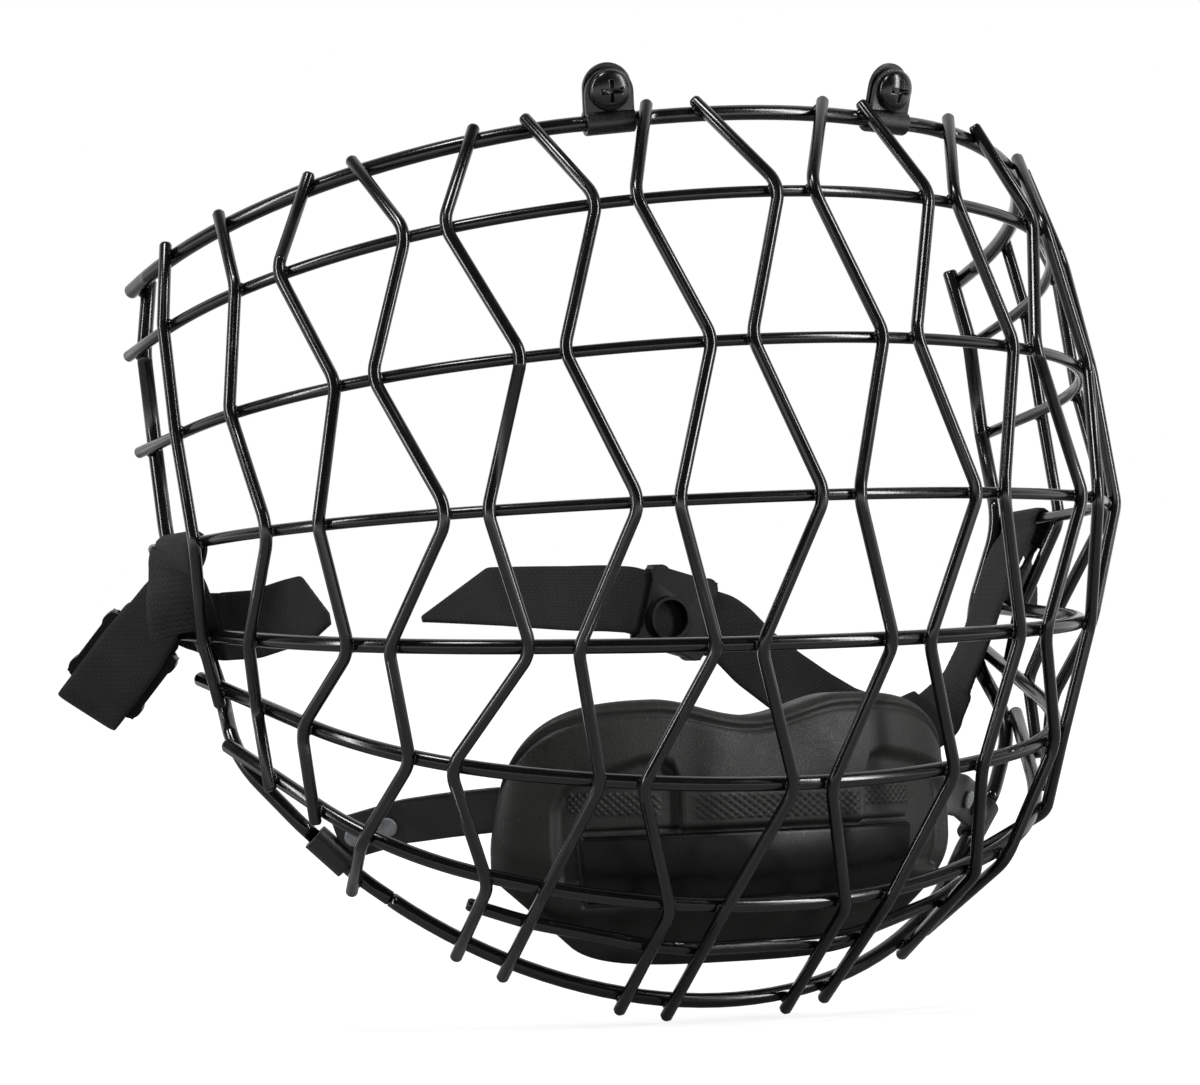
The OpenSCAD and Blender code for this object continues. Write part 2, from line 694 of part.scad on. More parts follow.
module chin_loop() {
    color(vinyl_black) at_chin_loop() rotate([0, 90, 0]) difference() {
        cylinder(h = chin_strap_w, r = chin_loop_r() + chin_strap_t, center = true);
        cylinder(h = chin_strap_w + 2, r = chin_loop_r(), center = true);
    }
}

// The left chin strap starts just clear of its loop, its end cut along the edge wire, and runs flat at first
function chin_strap_route() =
    let (
        axes = chin_loop_axes(),
        start = chin_loop_place() + axes[2] * (chin_loop_r() + chin_strap_t + chin_loop_gap),
        run = unit(chin_flat_run)
    )
    concat(
        [[start, axes[0], 1, true]],
        [for (s = [chin_flat_l - 1.5, chin_flat_l]) [start + run * s, axes[0]]],
        [for (r = chin_route) [cup_end + r[0], r[1]]]
    );

// Axes of a rivet at a distance from the loop: along the strap, across it, and through it
function rivet_axes() =
    let (run = unit(chin_flat_run), face = unit(cross(run, chin_loop_axes()[0])))
    [run, cross(face, run), face];
module at_rivets() {
    axes = rivet_axes();
    for (at = rivet_at)
        placed(chin_strap_route()[0][0] + axes[0] * at, axes[0], axes[1], axes[2]) children();
}

module chin_strap() {
    color(vinyl_black) difference() {
        strip(chin_strap_route(), chin_strap_w, chin_strap_t);
        at_rivets() cylinder(h = 4 * chin_strap_t, d = rivet_d + 2 * rivet_play, center = true);
    }
}

module chin_rivets() {
    seat = chin_strap_t / 2 + rivet_seat_gap;
    color(rivet_grey) at_rivets() {
        cylinder(h = 2 * seat + rivet_head_h, d = rivet_d, center = true);
        for (side = [-1, 1]) translate([0, 0, side * (seat + rivet_head_h / 2)])
            cylinder(h = rivet_head_h, d = rivet_head_d, center = true);
    }
}

// The webbing wraps over cross wire 3 from its outer side to its inner side
function webbing_wrap() =
    let (
        p = on_cross(3, strap_at),
        wire = cross_heading(3, strap_at),
        outer = unit(cross(wire, [0, 0, 1])),
        up = cross(outer, wire),
        r = (cheek_d + webbing_t) / 2 + turn_play,
        leg = up * cheek_d * 0.75
    )
    concat(
        [[p + outer * r - leg, wire]],
        [for (a = [0:30:180]) [p + outer * r * cos(a) + up * r * sin(a), wire]],
        [[p - outer * r - leg, wire]]
    );

// The near strap turns straight back on itself at its fold
function near_fold_run() = unit(near_fold - near_run[len(near_run) - 1][0]);
function webbing_fold() =
    let (run = near_fold_run(), inner = unit(cross(near_fold_across, run)))
    [for (a = [0:45:180]) [
        near_fold + run * near_fold_r * sin(a) + inner * near_fold_r * (1 - cos(a)),
        near_fold_across
    ]];
function near_tail_start() = webbing_fold()[4][0];
function near_route() = concat(
    short_end, webbing_wrap(), near_run, webbing_fold(),
    [for (s = [3, near_tail_l]) [near_tail_start() - near_fold_run() * s, near_fold_across]],
    near_tail
);
module side_strap(route) {
    color(webbing_black) strip(route, webbing_w, webbing_t);
}

// Slider with a channel for the webbing along X, and a ring on its face; Z runs across the webbing
module slider() {
    channel_t = webbing_t + 2 * slider_play;
    corner_x = slider_l / 2 - slider_corner_r;
    corner_z = slider_h / 2 - slider_corner_r;
    color(plastic_black) difference() {
        union() {
            cube([slider_l - 2 * slider_corner_out, slider_t, slider_h - 2 * slider_corner_out], center = true);
            for (x = [-corner_x, corner_x], z = [-corner_z, corner_z])
                translate([x, 0, z]) rotate([90, 0, 0]) cylinder(h = slider_t, r = slider_corner_r, center = true);
            translate([ring_along, -slider_t / 2, ring_across]) rotate([90, 0, 0])
                cylinder(h = ring_rise, d = ring_d);
        }
        cube([slider_l + 2, channel_t, webbing_w + 2 * slider_play], center = true);
        translate([ring_along, 0, ring_across]) rotate([90, 0, 0])
            cylinder(h = slider_t / 2 + ring_rise + 1, d = ring_hole_d);
    }
}
module near_slider() {
    run = -near_fold_run();
    face = unit(cross(near_fold_across, run));
    placed(near_tail_start() + run * near_slider_at, run, face, cross(run, face)) slider();
}
module far_slider() {
    run = unit(far_slider_run);
    placed(far_slider_at, run, [0, 1, 0], cross(run, [0, 1, 0])) slider();
}

// Points along a strip's middle become rings; each point is [place, direction of its width, share of it,
// whether the width stays as given where it isn't square to the strip]
function strip_ring(route, i, w, t) =
    let (
        n = len(route) - 1,
        run = unit(route[min(i + 1, n)][0] - route[max(i - 1, 0)][0]),
        across = unit(route[i][1]),
        square = unit(across - run * (across * run)),
        side = (len(route[i]) > 3 ? across : square) * w / 2 * (len(route[i]) > 2 ? route[i][2] : 1),
        face = unit(cross(run, side)) * t / 2,
        p = route[i][0]
    )
    [p - side + face, p + side + face, p + side - face, p - side - face];
module strip(route, w, t) {
    loft([for (i = [0:len(route) - 1]) strip_ring(route, i, w, t)]);
}

cross_wire(0);  // top_rim_wire
cross_wire(1);  // cross_wire_1
cross_wire(2);  // cross_wire_2
cross_wire(3);  // cross_wire_3
cross_wire(4);  // cross_wire_4
cross_wire(5);  // cross_wire_5
cross_wire(6);  // cross_wire_6
chin_wire();
edge_wire();
face_wire(1);  // face_wire_left_1
mirror([1, 0, 0]) face_wire(1);  // face_wire_right_1
face_wire(2);  // face_wire_left_2
mirror([1, 0, 0]) face_wire(2);  // face_wire_right_2
face_wire(3);  // face_wire_left_3
mirror([1, 0, 0]) face_wire(3);  // face_wire_right_3
face_wire(4);  // face_wire_left_4
mirror([1, 0, 0]) face_wire(4);  // face_wire_right_4
face_wire(5);  // face_wire_left_5
mirror([1, 0, 0]) face_wire(5);  // face_wire_right_5
face_wire(6);  // face_wire_left_6
mirror([1, 0, 0]) face_wire(6);  // face_wire_right_6
face_wire(7);  // face_wire_left_7
mirror([1, 0, 0]) face_wire(7);  // face_wire_right_7
face_wire(8);  // face_wire_left_8
mirror([1, 0, 0]) face_wire(8);  // face_wire_right_8
clip();  // left_clip
clip_screw();  // left_clip_screw
mirror([1, 0, 0]) clip();  // right_clip
mirror([1, 0, 0]) clip_screw();  // right_clip_screw
chin_cup();
chin_cup_band();
chin_loop();  // left_chin_loop
mirror([1, 0, 0]) chin_loop();  // right_chin_loop
chin_strap();  // left_chin_strap
mirror([1, 0, 0]) chin_strap();  // right_chin_strap
chin_rivets();  // left_chin_rivets
mirror([1, 0, 0]) chin_rivets();  // right_chin_rivets
side_strap(concat(short_end, webbing_wrap(), far_run));  // left_side_strap
mirror([1, 0, 0]) side_strap(near_route());  // right_side_strap
far_slider();  // left_slider
mirror([1, 0, 0]) near_slider();  // right_slider
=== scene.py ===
"""Looks of a ringette face mask: its welded cage, forehead clips, moulded chin cup and webbing side straps.

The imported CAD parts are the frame. Shapes are worked out in millimetres and put into meshes in metres."""

import json
import math

import bmesh
import bpy
import numpy as np
from mathutils import Matrix, Vector

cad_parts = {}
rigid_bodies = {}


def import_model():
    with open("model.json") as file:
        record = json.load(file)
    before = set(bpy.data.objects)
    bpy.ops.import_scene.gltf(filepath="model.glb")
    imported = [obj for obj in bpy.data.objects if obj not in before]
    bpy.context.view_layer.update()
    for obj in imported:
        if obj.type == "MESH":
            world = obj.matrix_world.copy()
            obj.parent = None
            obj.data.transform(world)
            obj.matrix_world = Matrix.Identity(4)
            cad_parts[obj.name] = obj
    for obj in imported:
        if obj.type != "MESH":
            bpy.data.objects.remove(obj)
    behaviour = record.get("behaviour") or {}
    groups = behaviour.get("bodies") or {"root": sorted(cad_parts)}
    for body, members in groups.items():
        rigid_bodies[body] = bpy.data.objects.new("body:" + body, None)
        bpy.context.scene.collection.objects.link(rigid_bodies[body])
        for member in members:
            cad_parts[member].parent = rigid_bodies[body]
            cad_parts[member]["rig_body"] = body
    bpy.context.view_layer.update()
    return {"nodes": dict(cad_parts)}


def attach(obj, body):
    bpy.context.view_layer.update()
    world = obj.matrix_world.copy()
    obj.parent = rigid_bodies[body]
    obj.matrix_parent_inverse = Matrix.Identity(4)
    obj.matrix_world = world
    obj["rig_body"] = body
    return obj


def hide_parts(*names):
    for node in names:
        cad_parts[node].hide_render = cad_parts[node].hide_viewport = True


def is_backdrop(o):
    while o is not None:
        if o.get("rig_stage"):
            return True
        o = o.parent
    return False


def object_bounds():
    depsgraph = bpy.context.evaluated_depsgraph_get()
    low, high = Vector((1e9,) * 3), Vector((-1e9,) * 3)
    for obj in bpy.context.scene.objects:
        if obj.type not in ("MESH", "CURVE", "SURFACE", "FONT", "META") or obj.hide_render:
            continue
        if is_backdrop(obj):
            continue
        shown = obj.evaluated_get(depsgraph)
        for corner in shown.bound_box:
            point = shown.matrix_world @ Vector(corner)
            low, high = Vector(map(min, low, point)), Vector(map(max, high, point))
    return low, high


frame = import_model()
nodes = frame["nodes"]
MM = 0.001
SIDES = {"left": 1, "right": -1}

# Values of the cage that its welds and the straps' loops are placed by, as in the part's source, with one
# value for each cross wire from the brow down
RIM_D, CHEEK_D, LOWER_D, CHIN_D, EDGE_D = 3.4, 2.6, 3.3, 3.0, 3.4
CROSS_D = [RIM_D, CHEEK_D, CHEEK_D, CHEEK_D, LOWER_D, LOWER_D, LOWER_D, CHIN_D, EDGE_D]
CROSS_Z = [0, -18, -50.5, -85, -117, -148, -175, -187, -197]
CROSS_Y = [0, -13, -22, -29, -22, -13, 0, 12.5, 25]
CROSS_TILT = [-20, -16.5, -10.5, -4, 3, 16, 30.5, 42.5, 50]
FRONT_R = [124, 128, 134, 138, 138, 138, 132, 120, 97]
FRONT_A = [26, 29.5, 32, 33, 29.5, 27, 30, 36.5, 45.5]
CORNER_R = [96, 94, 84, 76, 67, 61, 61, 64, 68]
SIDE_A = [89, 88, 88, 87, 84, 78, 69, 67, 50]
FIRST_PAIR = [21.5, 41.5, 21, 42, 21.5, 44, 21.5, 0, 20.5]
PAIR_PITCH = [38.5, 41.5, 41.5, 41, 40.5, 41, 40.5, 0, 38]
PAIR_GAP = [12.5, 9.5, 10, 9.5, 11, 10, 12.5, 0, 11]
FIRST_EAR_WIRE = 6
EAR_WIRES = [
    [104, 117.5, 108.5, 116.5, 107.5, 117.5, 109.5],
    [127.5, 130, 137, 131, 137.5, 134, 124],
    [146, 155, 158, 158, 156.5, 148.5],
]
CHIN_ROW = 7
LAST_ROW = [8, 8, 8, 8, 8, 6, 6, 5]
SIDE_RUN = [3, 12.5, 21, 27.5, 33, 36.5, 26.5]
CROSS_TIP = 3
JAW_RUN = 8
WELD_BITE = 0.22


def unit(v):
    """The vectors in the last axis, each over its own length."""
    v = np.asarray(v, float)
    return v / np.linalg.norm(v, axis=-1, keepdims=True)


def ease(x, low, high):
    """0 below low, 1 above high, and the smooth cubic 3t^2 - 2t^3 between them."""
    t = np.clip((np.asarray(x, float) - low) / (high - low), 0, 1)
    return t * t * (3 - 2 * t)


# Shape of the cage's wires


def stretches(row):
    """Half of a cross wire as (length, angle turned): its front arc, cheek corner and straight side."""
    front = FRONT_R[row] * math.radians(FRONT_A[row])
    turn = SIDE_A[row] - FRONT_A[row]
    side = SIDE_RUN[row] + CROSS_TIP if row < len(SIDE_RUN) else JAW_RUN
    return [(front, FRONT_A[row]), (CORNER_R[row] * math.radians(turn), turn), (side, 0)]


def on_cross(row, s):
    """Place and heading at a distance s from the middle along a cross wire, in its own tilted plane."""
    x = y = heading = 0.0
    parts = stretches(row)
    for i, (length, turn) in enumerate(parts):
        last = i == len(parts) - 1 or s <= length
        share = s / length if last else 1
        a, b = math.radians(heading), math.radians(heading + turn * share)
        if turn:
            r = length / math.radians(turn)
            x, y = x + r * (math.sin(b) - math.sin(a)), y + r * (math.cos(a) - math.cos(b))
        else:
            x, y = x + s * math.cos(a), y + s * math.sin(a)
        heading += turn * share
        if last:
            break
        s -= length
    tilt, a = math.radians(CROSS_TILT[row]), math.radians(heading)
    place = np.array([x, CROSS_Y[row] + y * math.cos(tilt), CROSS_Z[row] + y * math.sin(tilt)])
    return place, np.array([math.cos(a), math.sin(a) * math.cos(tilt), math.sin(a) * math.sin(tilt)])


def face_at(wire, row):
    """Distance from the middle of a cross wire to where a face wire crosses it."""
    if wire >= FIRST_EAR_WIRE:
        return EAR_WIRES[wire - FIRST_EAR_WIRE][row]
    odd = row % 2
    pair = (wire - 1 + odd) // 2
    side = -1 if (wire + odd) % 2 == 1 else 1
    centre = 0 if odd and pair == 0 else FIRST_PAIR[row] + (pair - odd) * PAIR_PITCH[row]
    return centre + side * PAIR_GAP[row] / 2


def weld_places():
    """Each weld of two wires: its middle, the direction from its cross wire to the other wire, and the
    cross wire's heading."""
    found = []
    runs = []
    for wire, last_row in enumerate(LAST_ROW, 1):
        rows = [row for row in range(last_row + 1) if row != CHIN_ROW]
        runs.append((rows, [face_at(wire, row) for row in rows]))
    edge_rows = list(reversed(range(len(SIDE_RUN))))
    runs.append((edge_rows, [sum(length for length, _ in stretches(row)) - CROSS_TIP for row in edge_rows]))
    for rows, places in runs:
        raw = np.array([on_cross(row, s)[0] for row, s in zip(rows, places)])
        for i, (row, s) in enumerate(zip(rows, places)):
            run = unit(raw[min(i + 1, len(rows) - 1)] - raw[max(i - 1, 0)])
            heading = on_cross(row, s)[1]
            out = unit(np.cross(run, heading))
            middle = raw[i] + out * (CROSS_D[row] - WELD_BITE) / 2
            for flip in ([side, 1, 1] for side in SIDES.values()):
                found.append((middle * flip, out * flip, heading * flip))
    return found


# Meshes


def mesh_object(name, points, faces):
    """A smooth mesh from places in millimetres [n, 3] and faces as index arrays."""
    mesh = bpy.data.meshes.new(name)
    mesh.from_pydata((np.asarray(points) * MM).tolist(), [], [list(map(int, f)) for f in faces])
    mesh.polygons.foreach_set("use_smooth", np.full(len(mesh.polygons), True))
    mesh.update()
    obj = bpy.data.objects.new(name, mesh)
    bpy.context.scene.collection.objects.link(obj)
    return obj


def ring_faces(rows, columns):
    """Quads of a grid whose rings close on themselves, and a fan to an extra point at each end of it."""
    i, k = np.meshgrid(np.arange(rows - 1), np.arange(columns), indexing="ij")
    after = (k + 1) % columns
    a, b, c, d = i * columns + k, i * columns + after, (i + 1) * columns + after, (i + 1) * columns + k
    quads = np.stack([a, b, c, d], -1).reshape(-1, 4)
    k = np.arange(columns)
    first, last = rows * columns, rows * columns + 1
    start = np.stack([(k + 1) % columns, k, np.full(columns, first)], -1)
    base = (rows - 1) * columns
    stop = np.stack([base + k, base + (k + 1) % columns, np.full(columns, last)], -1)
    return quads, start, stop


def volume(points, triangles):
    """Signed volume of a closed mesh: the sum of its faces' tetrahedra from the origin."""
    p = np.asarray(points)[np.asarray(triangles)]
    return np.einsum("ij,ij->i", p[:, 0], np.cross(p[:, 1], p[:, 2])).sum() / 6


def strip_across(columns, split):
    """Triangles across a ring of places, from its first side to the side that starts at split, both walked
    at an even pace from where they meet."""
    i, k, made = split - 1, split, []
    while i > 0 or k < columns - 1:
        inner_turn = (k - split + 1) * (split - 1) <= (split - i) * (columns - split - 1)
        if k < columns - 1 and (i == 0 or inner_turn):
            made.append((i, k, k + 1))
            k += 1
        else:
            made.append((i, k, i - 1))
            i -= 1
    return np.array(made)


def closed_rings(name, grid, split=0):
    """A closed solid skin through rings of places [ring, place, xyz], capped at both ends, faces outwards.
    A cap is a fan, or a strip across the ring when its second side starts at split."""
    rows, columns = grid.shape[:2]
    quads, start, stop = ring_faces(rows, columns)
    points = grid.reshape(-1, 3)
    if split:
        across = strip_across(columns, split)
        start, stop = across[:, ::-1], across + (rows - 1) * columns
    else:
        points = np.concatenate([points, grid[0].mean(0)[None], grid[-1].mean(0)[None]])
    triangles = np.concatenate([quads[:, [0, 1, 2]], quads[:, [0, 2, 3]], start, stop])
    if volume(points, triangles) < 0:
        quads, start, stop = quads[:, ::-1], start[:, ::-1], stop[:, ::-1]
    return mesh_object(name, points, [*quads, *start, *stop])


def keep_attribute(obj, name, values):
    """Stores one vector per vertex, for materials whose pattern follows the surface."""
    attribute = obj.data.attributes.new(name, "FLOAT_VECTOR", "POINT")
    attribute.data.foreach_set("vector", np.asarray(values, np.float32).ravel())


def smooth_along(values, spread):
    """Rows of values, each averaged with its neighbours by a bell curve of that spread; the ends stay."""
    reach = max(1, int(3 * spread))
    bell = np.exp(-0.5 * (np.arange(-reach, reach + 1) / spread) ** 2)
    bell /= bell.sum()
    flat = values.reshape(len(values), -1)
    before = 2 * flat[0] - flat[reach:0:-1]
    after = 2 * flat[-1] - flat[-2 : -reach - 2 : -1]
    padded = np.concatenate([before, flat, after])
    return np.stack([np.convolve(column, bell, "valid") for column in padded.T], 1).reshape(values.shape)


def dress(obj, body, slot, material, *stands_for):
    """Puts a piece on its body, with its finish and the CAD parts that it stands for."""
    obj.data.materials.clear()
    obj.data.materials.append(material)
    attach(obj, body)
    if stands_for:
        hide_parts(*stands_for)
    return obj


def merged_copy(node, name, corner=35, edge=0.0, near=0.002):
    """A copy of a CAD part whose triangles share their corners, smooth but for its sharp edges. Corners
    nearer than near become one, and edges are rounded over by the radius edge, both in millimetres."""
    mesh = nodes[node].data.copy()
    mesh.name = name
    work = bmesh.new()
    work.from_mesh(mesh)
    bmesh.ops.remove_doubles(work, verts=work.verts, dist=near * MM)
    if edge:
        bmesh.ops.dissolve_limit(
            work, angle_limit=math.radians(1), verts=work.verts, edges=work.edges, delimit={"NORMAL"}
        )
    work.to_mesh(mesh)
    work.free()
    mesh.polygons.foreach_set("use_smooth", np.full(len(mesh.polygons), True))
    mesh.set_sharp_from_angle(angle=math.radians(corner))
    obj = bpy.data.objects.new(name, mesh)
    bpy.context.scene.collection.objects.link(obj)
    if edge:
        rounding = obj.modifiers.new("rounded_edges", "BEVEL")
        rounding.width = edge * MM
        rounding.segments = 3
        rounding.limit_method = "ANGLE"
        rounding.angle_limit = math.radians(30)
    return obj


# Finishes


def new_group(name, inputs, outputs):
    """An empty shader node group with named sockets, and its two end nodes."""
    group = bpy.data.node_groups.new(name, "ShaderNodeTree")
    for label, kind, value in inputs:
        group.interface.new_socket(label, in_out="INPUT", socket_type=kind).default_value = value
    for label, kind in outputs:
        group.interface.new_socket(label, in_out="OUTPUT", socket_type=kind)
    return group, group.nodes.new("NodeGroupInput"), group.nodes.new("NodeGroupOutput")


def maths(tree, operation, first, second=None, third=None):
    """A math node with its inputs linked or set."""
    node = tree.nodes.new("ShaderNodeMath")
    node.operation = operation
    for socket, value in zip(node.inputs, (first, second, third)):
        if value is None:
            continue
        if isinstance(value, bpy.types.NodeSocket):
            tree.links.new(value, socket)
        else:
            socket.default_value = value
    return node.outputs[0]


def blend_colour(tree, share, first, second):
    """Mixes two colours by a share."""
    node = tree.nodes.new("ShaderNodeMix")
    node.data_type = "RGBA"
    tree.links.new(share, node.inputs["Factor"])
    tree.links.new(first, node.inputs["A"])
    tree.links.new(second, node.inputs["B"])
    return node.outputs["Result"]


def noise(tree, place, scale, detail):
    """Noise from a place, at a scale that is a number or a socket."""
    node = tree.nodes.new("ShaderNodeTexNoise")
    node.inputs["Detail"].default_value = detail
    tree.links.new(place, node.inputs["Vector"])
    if isinstance(scale, bpy.types.NodeSocket):
        tree.links.new(scale, node.inputs["Scale"])
    else:
        node.inputs["Scale"].default_value = scale
    return node.outputs["Fac"]


def bump(tree, height, distance):
    """Normal of a surface raised by a height times a distance in metres."""
    node = tree.nodes.new("ShaderNodeBump")
    node.inputs["Strength"].default_value = 1.0
    tree.links.new(height, node.inputs["Height"])
    tree.links.new(distance, node.inputs["Distance"])
    return node.outputs["Normal"]


FLOAT, COLOUR, VECTOR = "NodeSocketFloat", "NodeSocketColor", "NodeSocketVector"


def grain_group():
    """Fine grain: a small noise raises the surface and mottles its colour, a broad one varies both, and
    its peaks above a threshold show as pale specks."""
    tree, given, out = new_group(
        "grain",
        [
            ("Dark", COLOUR, (0.01, 0.01, 0.01, 1)),
            ("Light", COLOUR, (0.03, 0.03, 0.03, 1)),
            ("Speck", COLOUR, (0.1, 0.1, 0.1, 1)),
            ("Size", FLOAT, 1500.0),
            ("Depth", FLOAT, 0.00003),
            ("Speck level", FLOAT, 0.8),
            ("Smoothest", FLOAT, 0.25),
            ("Roughest", FLOAT, 0.4),
        ],
        [("Color", COLOUR), ("Roughness", FLOAT), ("Normal", VECTOR)],
    )
    place = tree.nodes.new("ShaderNodeTexCoord").outputs["Object"]
    fine = noise(tree, place, given.outputs["Size"], 4.0)
    broad = noise(tree, place, maths(tree, "DIVIDE", given.outputs["Size"], 14.0), 2.0)
    mottle = maths(tree, "ADD", maths(tree, "MULTIPLY", fine, 0.6), maths(tree, "MULTIPLY", broad, 0.4))
    spread = tree.nodes.new("ShaderNodeMapRange")
    spread.inputs["From Min"].default_value = 0.35
    spread.inputs["From Max"].default_value = 0.65
    tree.links.new(mottle, spread.inputs["Value"])
    share = spread.outputs["Result"]
    base = blend_colour(tree, share, given.outputs["Dark"], given.outputs["Light"])
    specks = noise(tree, place, maths(tree, "MULTIPLY", given.outputs["Size"], 0.7), 2.0)
    peak = tree.nodes.new("ShaderNodeMapRange")
    tree.links.new(specks, peak.inputs["Value"])
    tree.links.new(given.outputs["Speck level"], peak.inputs["From Min"])
    tree.links.new(maths(tree, "ADD", given.outputs["Speck level"], 0.05), peak.inputs["From Max"])
    colour = blend_colour(tree, peak.outputs["Result"], base, given.outputs["Speck"])
    tree.links.new(colour, out.inputs["Color"])
    rough = tree.nodes.new("ShaderNodeMapRange")
    tree.links.new(share, rough.inputs["Value"])
    tree.links.new(given.outputs["Smoothest"], rough.inputs["To Min"])
    tree.links.new(given.outputs["Roughest"], rough.inputs["To Max"])
    tree.links.new(rough.outputs["Result"], out.inputs["Roughness"])
    tree.links.new(bump(tree, fine, given.outputs["Depth"]), out.inputs["Normal"])
    return tree


def weave_group():
    """Woven webbing: its yarns are |sin| of the place across times |sin| of the place along, each to the
    power 0.6, in columns staggered by half a pick, with fuzz over them."""
    tree, given, out = new_group(
        "weave",
        [
            ("Dark", COLOUR, (0.006, 0.006, 0.007, 1)),
            ("Light", COLOUR, (0.03, 0.03, 0.032, 1)),
            ("Yarn", FLOAT, 0.9),
            ("Pick", FLOAT, 1.3),
            ("Depth", FLOAT, 0.00012),
        ],
        [("Color", COLOUR), ("Roughness", FLOAT), ("Normal", VECTOR)],
    )
    attribute = tree.nodes.new("ShaderNodeAttribute")
    attribute.attribute_name = "weave"
    split = tree.nodes.new("ShaderNodeSeparateXYZ")
    tree.links.new(attribute.outputs["Vector"], split.inputs[0])
    column = maths(tree, "DIVIDE", split.outputs["X"], given.outputs["Yarn"])
    row = maths(tree, "DIVIDE", split.outputs["Y"], given.outputs["Pick"])
    stagger = maths(tree, "MULTIPLY_ADD", maths(tree, "FLOOR", column), 0.5, row)
    across = maths(tree, "ABSOLUTE", maths(tree, "SINE", maths(tree, "MULTIPLY", column, math.pi)))
    along = maths(tree, "ABSOLUTE", maths(tree, "SINE", maths(tree, "MULTIPLY", stagger, math.pi)))
    yarns = maths(tree, "MULTIPLY", maths(tree, "POWER", across, 0.6), maths(tree, "POWER", along, 0.6))
    place = tree.nodes.new("ShaderNodeTexCoord").outputs["Object"]
    fuzz = noise(tree, place, 2600.0, 4.0)
    wear = noise(tree, place, 140.0, 3.0)
    height = maths(tree, "ADD", maths(tree, "MULTIPLY", yarns, 0.55), maths(tree, "MULTIPLY", fuzz, 0.8))
    # The colour follows the yarns' height and fuzz: painted shade darkens the dips between the yarns, times
    # random wear
    painted_shade_and_wear = maths(tree, "MULTIPLY", height, maths(tree, "ADD", wear, 0.35))
    colour = blend_colour(tree, painted_shade_and_wear, given.outputs["Dark"], given.outputs["Light"])
    tree.links.new(colour, out.inputs["Color"])
    tree.links.new(maths(tree, "MULTIPLY_ADD", fuzz, 0.3, 0.65), out.inputs["Roughness"])
    tree.links.new(bump(tree, height, given.outputs["Depth"]), out.inputs["Normal"])
    return tree


GRAIN = grain_group()
WEAVE = weave_group()


def finish(name, group, values, **shader):
    """A material whose colour, roughness and normal come from a node group with its own values."""
    material = bpy.data.materials.new(name)
    material.use_nodes = True
    tree = material.node_tree
    surface = tree.nodes["Principled BSDF"]
    for label, value in shader.items():
        surface.inputs[label.replace("_", " ")].default_value = value
    made = tree.nodes.new("ShaderNodeGroup")
    made.node_tree = group
    for label, value in values.items():
        made.inputs[label].default_value = (*value, 1) if isinstance(value, tuple) else value
    tree.links.new(made.outputs["Color"], surface.inputs["Base Color"])
    tree.links.new(made.outputs["Roughness"], surface.inputs["Roughness"])
    tree.links.new(made.outputs["Normal"], surface.inputs["Normal"])
    return material


powder_coat = finish(
    "powder_coat",
    GRAIN,
    {
        "Dark": (0.0015, 0.0015, 0.0016),
        "Light": (0.004, 0.004, 0.0043),
        "Speck": (0.02, 0.02, 0.02),
        "Size": 2600.0,
        "Depth": 0.000006,
        "Speck level": 0.7,
        "Smoothest": 0.14,
        "Roughest": 0.22,
    },
    Specular_IOR_Level=0.6,
)
clip_paint = finish(
    "clip_paint",
    GRAIN,
    {
        "Dark": (0.003, 0.003, 0.003),
        "Light": (0.008, 0.0075, 0.0075),
        "Speck": (0.03, 0.03, 0.03),
        "Size": 1600.0,
        "Depth": 0.00001,
        "Speck level": 0.72,
        "Smoothest": 0.28,
        "Roughest": 0.42,
    },
    Specular_IOR_Level=0.5,
)
screw_black = finish(
    "screw_black",
    GRAIN,
    {
        "Dark": (0.002, 0.002, 0.002),
        "Light": (0.006, 0.006, 0.006),
        "Speck": (0.05, 0.05, 0.05),
        "Size": 2200.0,
        "Depth": 0.000004,
        "Speck level": 0.74,
        "Smoothest": 0.16,
        "Roughest": 0.3,
    },
    Specular_IOR_Level=0.5,
)
cup_skin = finish(
    "cup_skin",
    GRAIN,
    {
        "Dark": (0.0075, 0.0072, 0.0062),
        "Light": (0.017, 0.016, 0.0142),
        "Speck": (0.06, 0.058, 0.05),
        "Size": 2100.0,
        "Depth": 0.00008,
        "Speck level": 0.69,
        "Smoothest": 0.42,
        "Roughest": 0.62,
    },
    Specular_IOR_Level=0.4,
)
band_gloss = finish(
    "band_gloss",
    GRAIN,
    {
        "Dark": (0.002, 0.002, 0.002),
        "Light": (0.0045, 0.0045, 0.0045),
        "Speck": (0.012, 0.012, 0.012),
        "Size": 900.0,
        "Depth": 0.00001,
        "Speck level": 0.75,
        "Smoothest": 0.26,
        "Roughest": 0.36,
    },
    Specular_IOR_Level=0.2,
)
vinyl = finish(
    "coated_vinyl",
    GRAIN,
    {
        "Dark": (0.004, 0.004, 0.0042),
        "Light": (0.011, 0.011, 0.0115),
        "Speck": (0.04, 0.04, 0.04),
        "Size": 1900.0,
        "Depth": 0.00002,
        "Speck level": 0.72,
        "Smoothest": 0.34,
        "Roughest": 0.5,
    },
    Specular_IOR_Level=0.5,
)
rivet_plastic = finish(
    "rivet_plastic",
    GRAIN,
    {
        "Dark": (0.16, 0.165, 0.17),
        "Light": (0.26, 0.27, 0.28),
        "Speck": (0.5, 0.5, 0.5),
        "Size": 700.0,
        "Depth": 0.00001,
        "Speck level": 0.75,
        "Smoothest": 0.14,
        "Roughest": 0.25,
    },
    Subsurface_Weight=0.15,
    Subsurface_Scale=0.001,
)
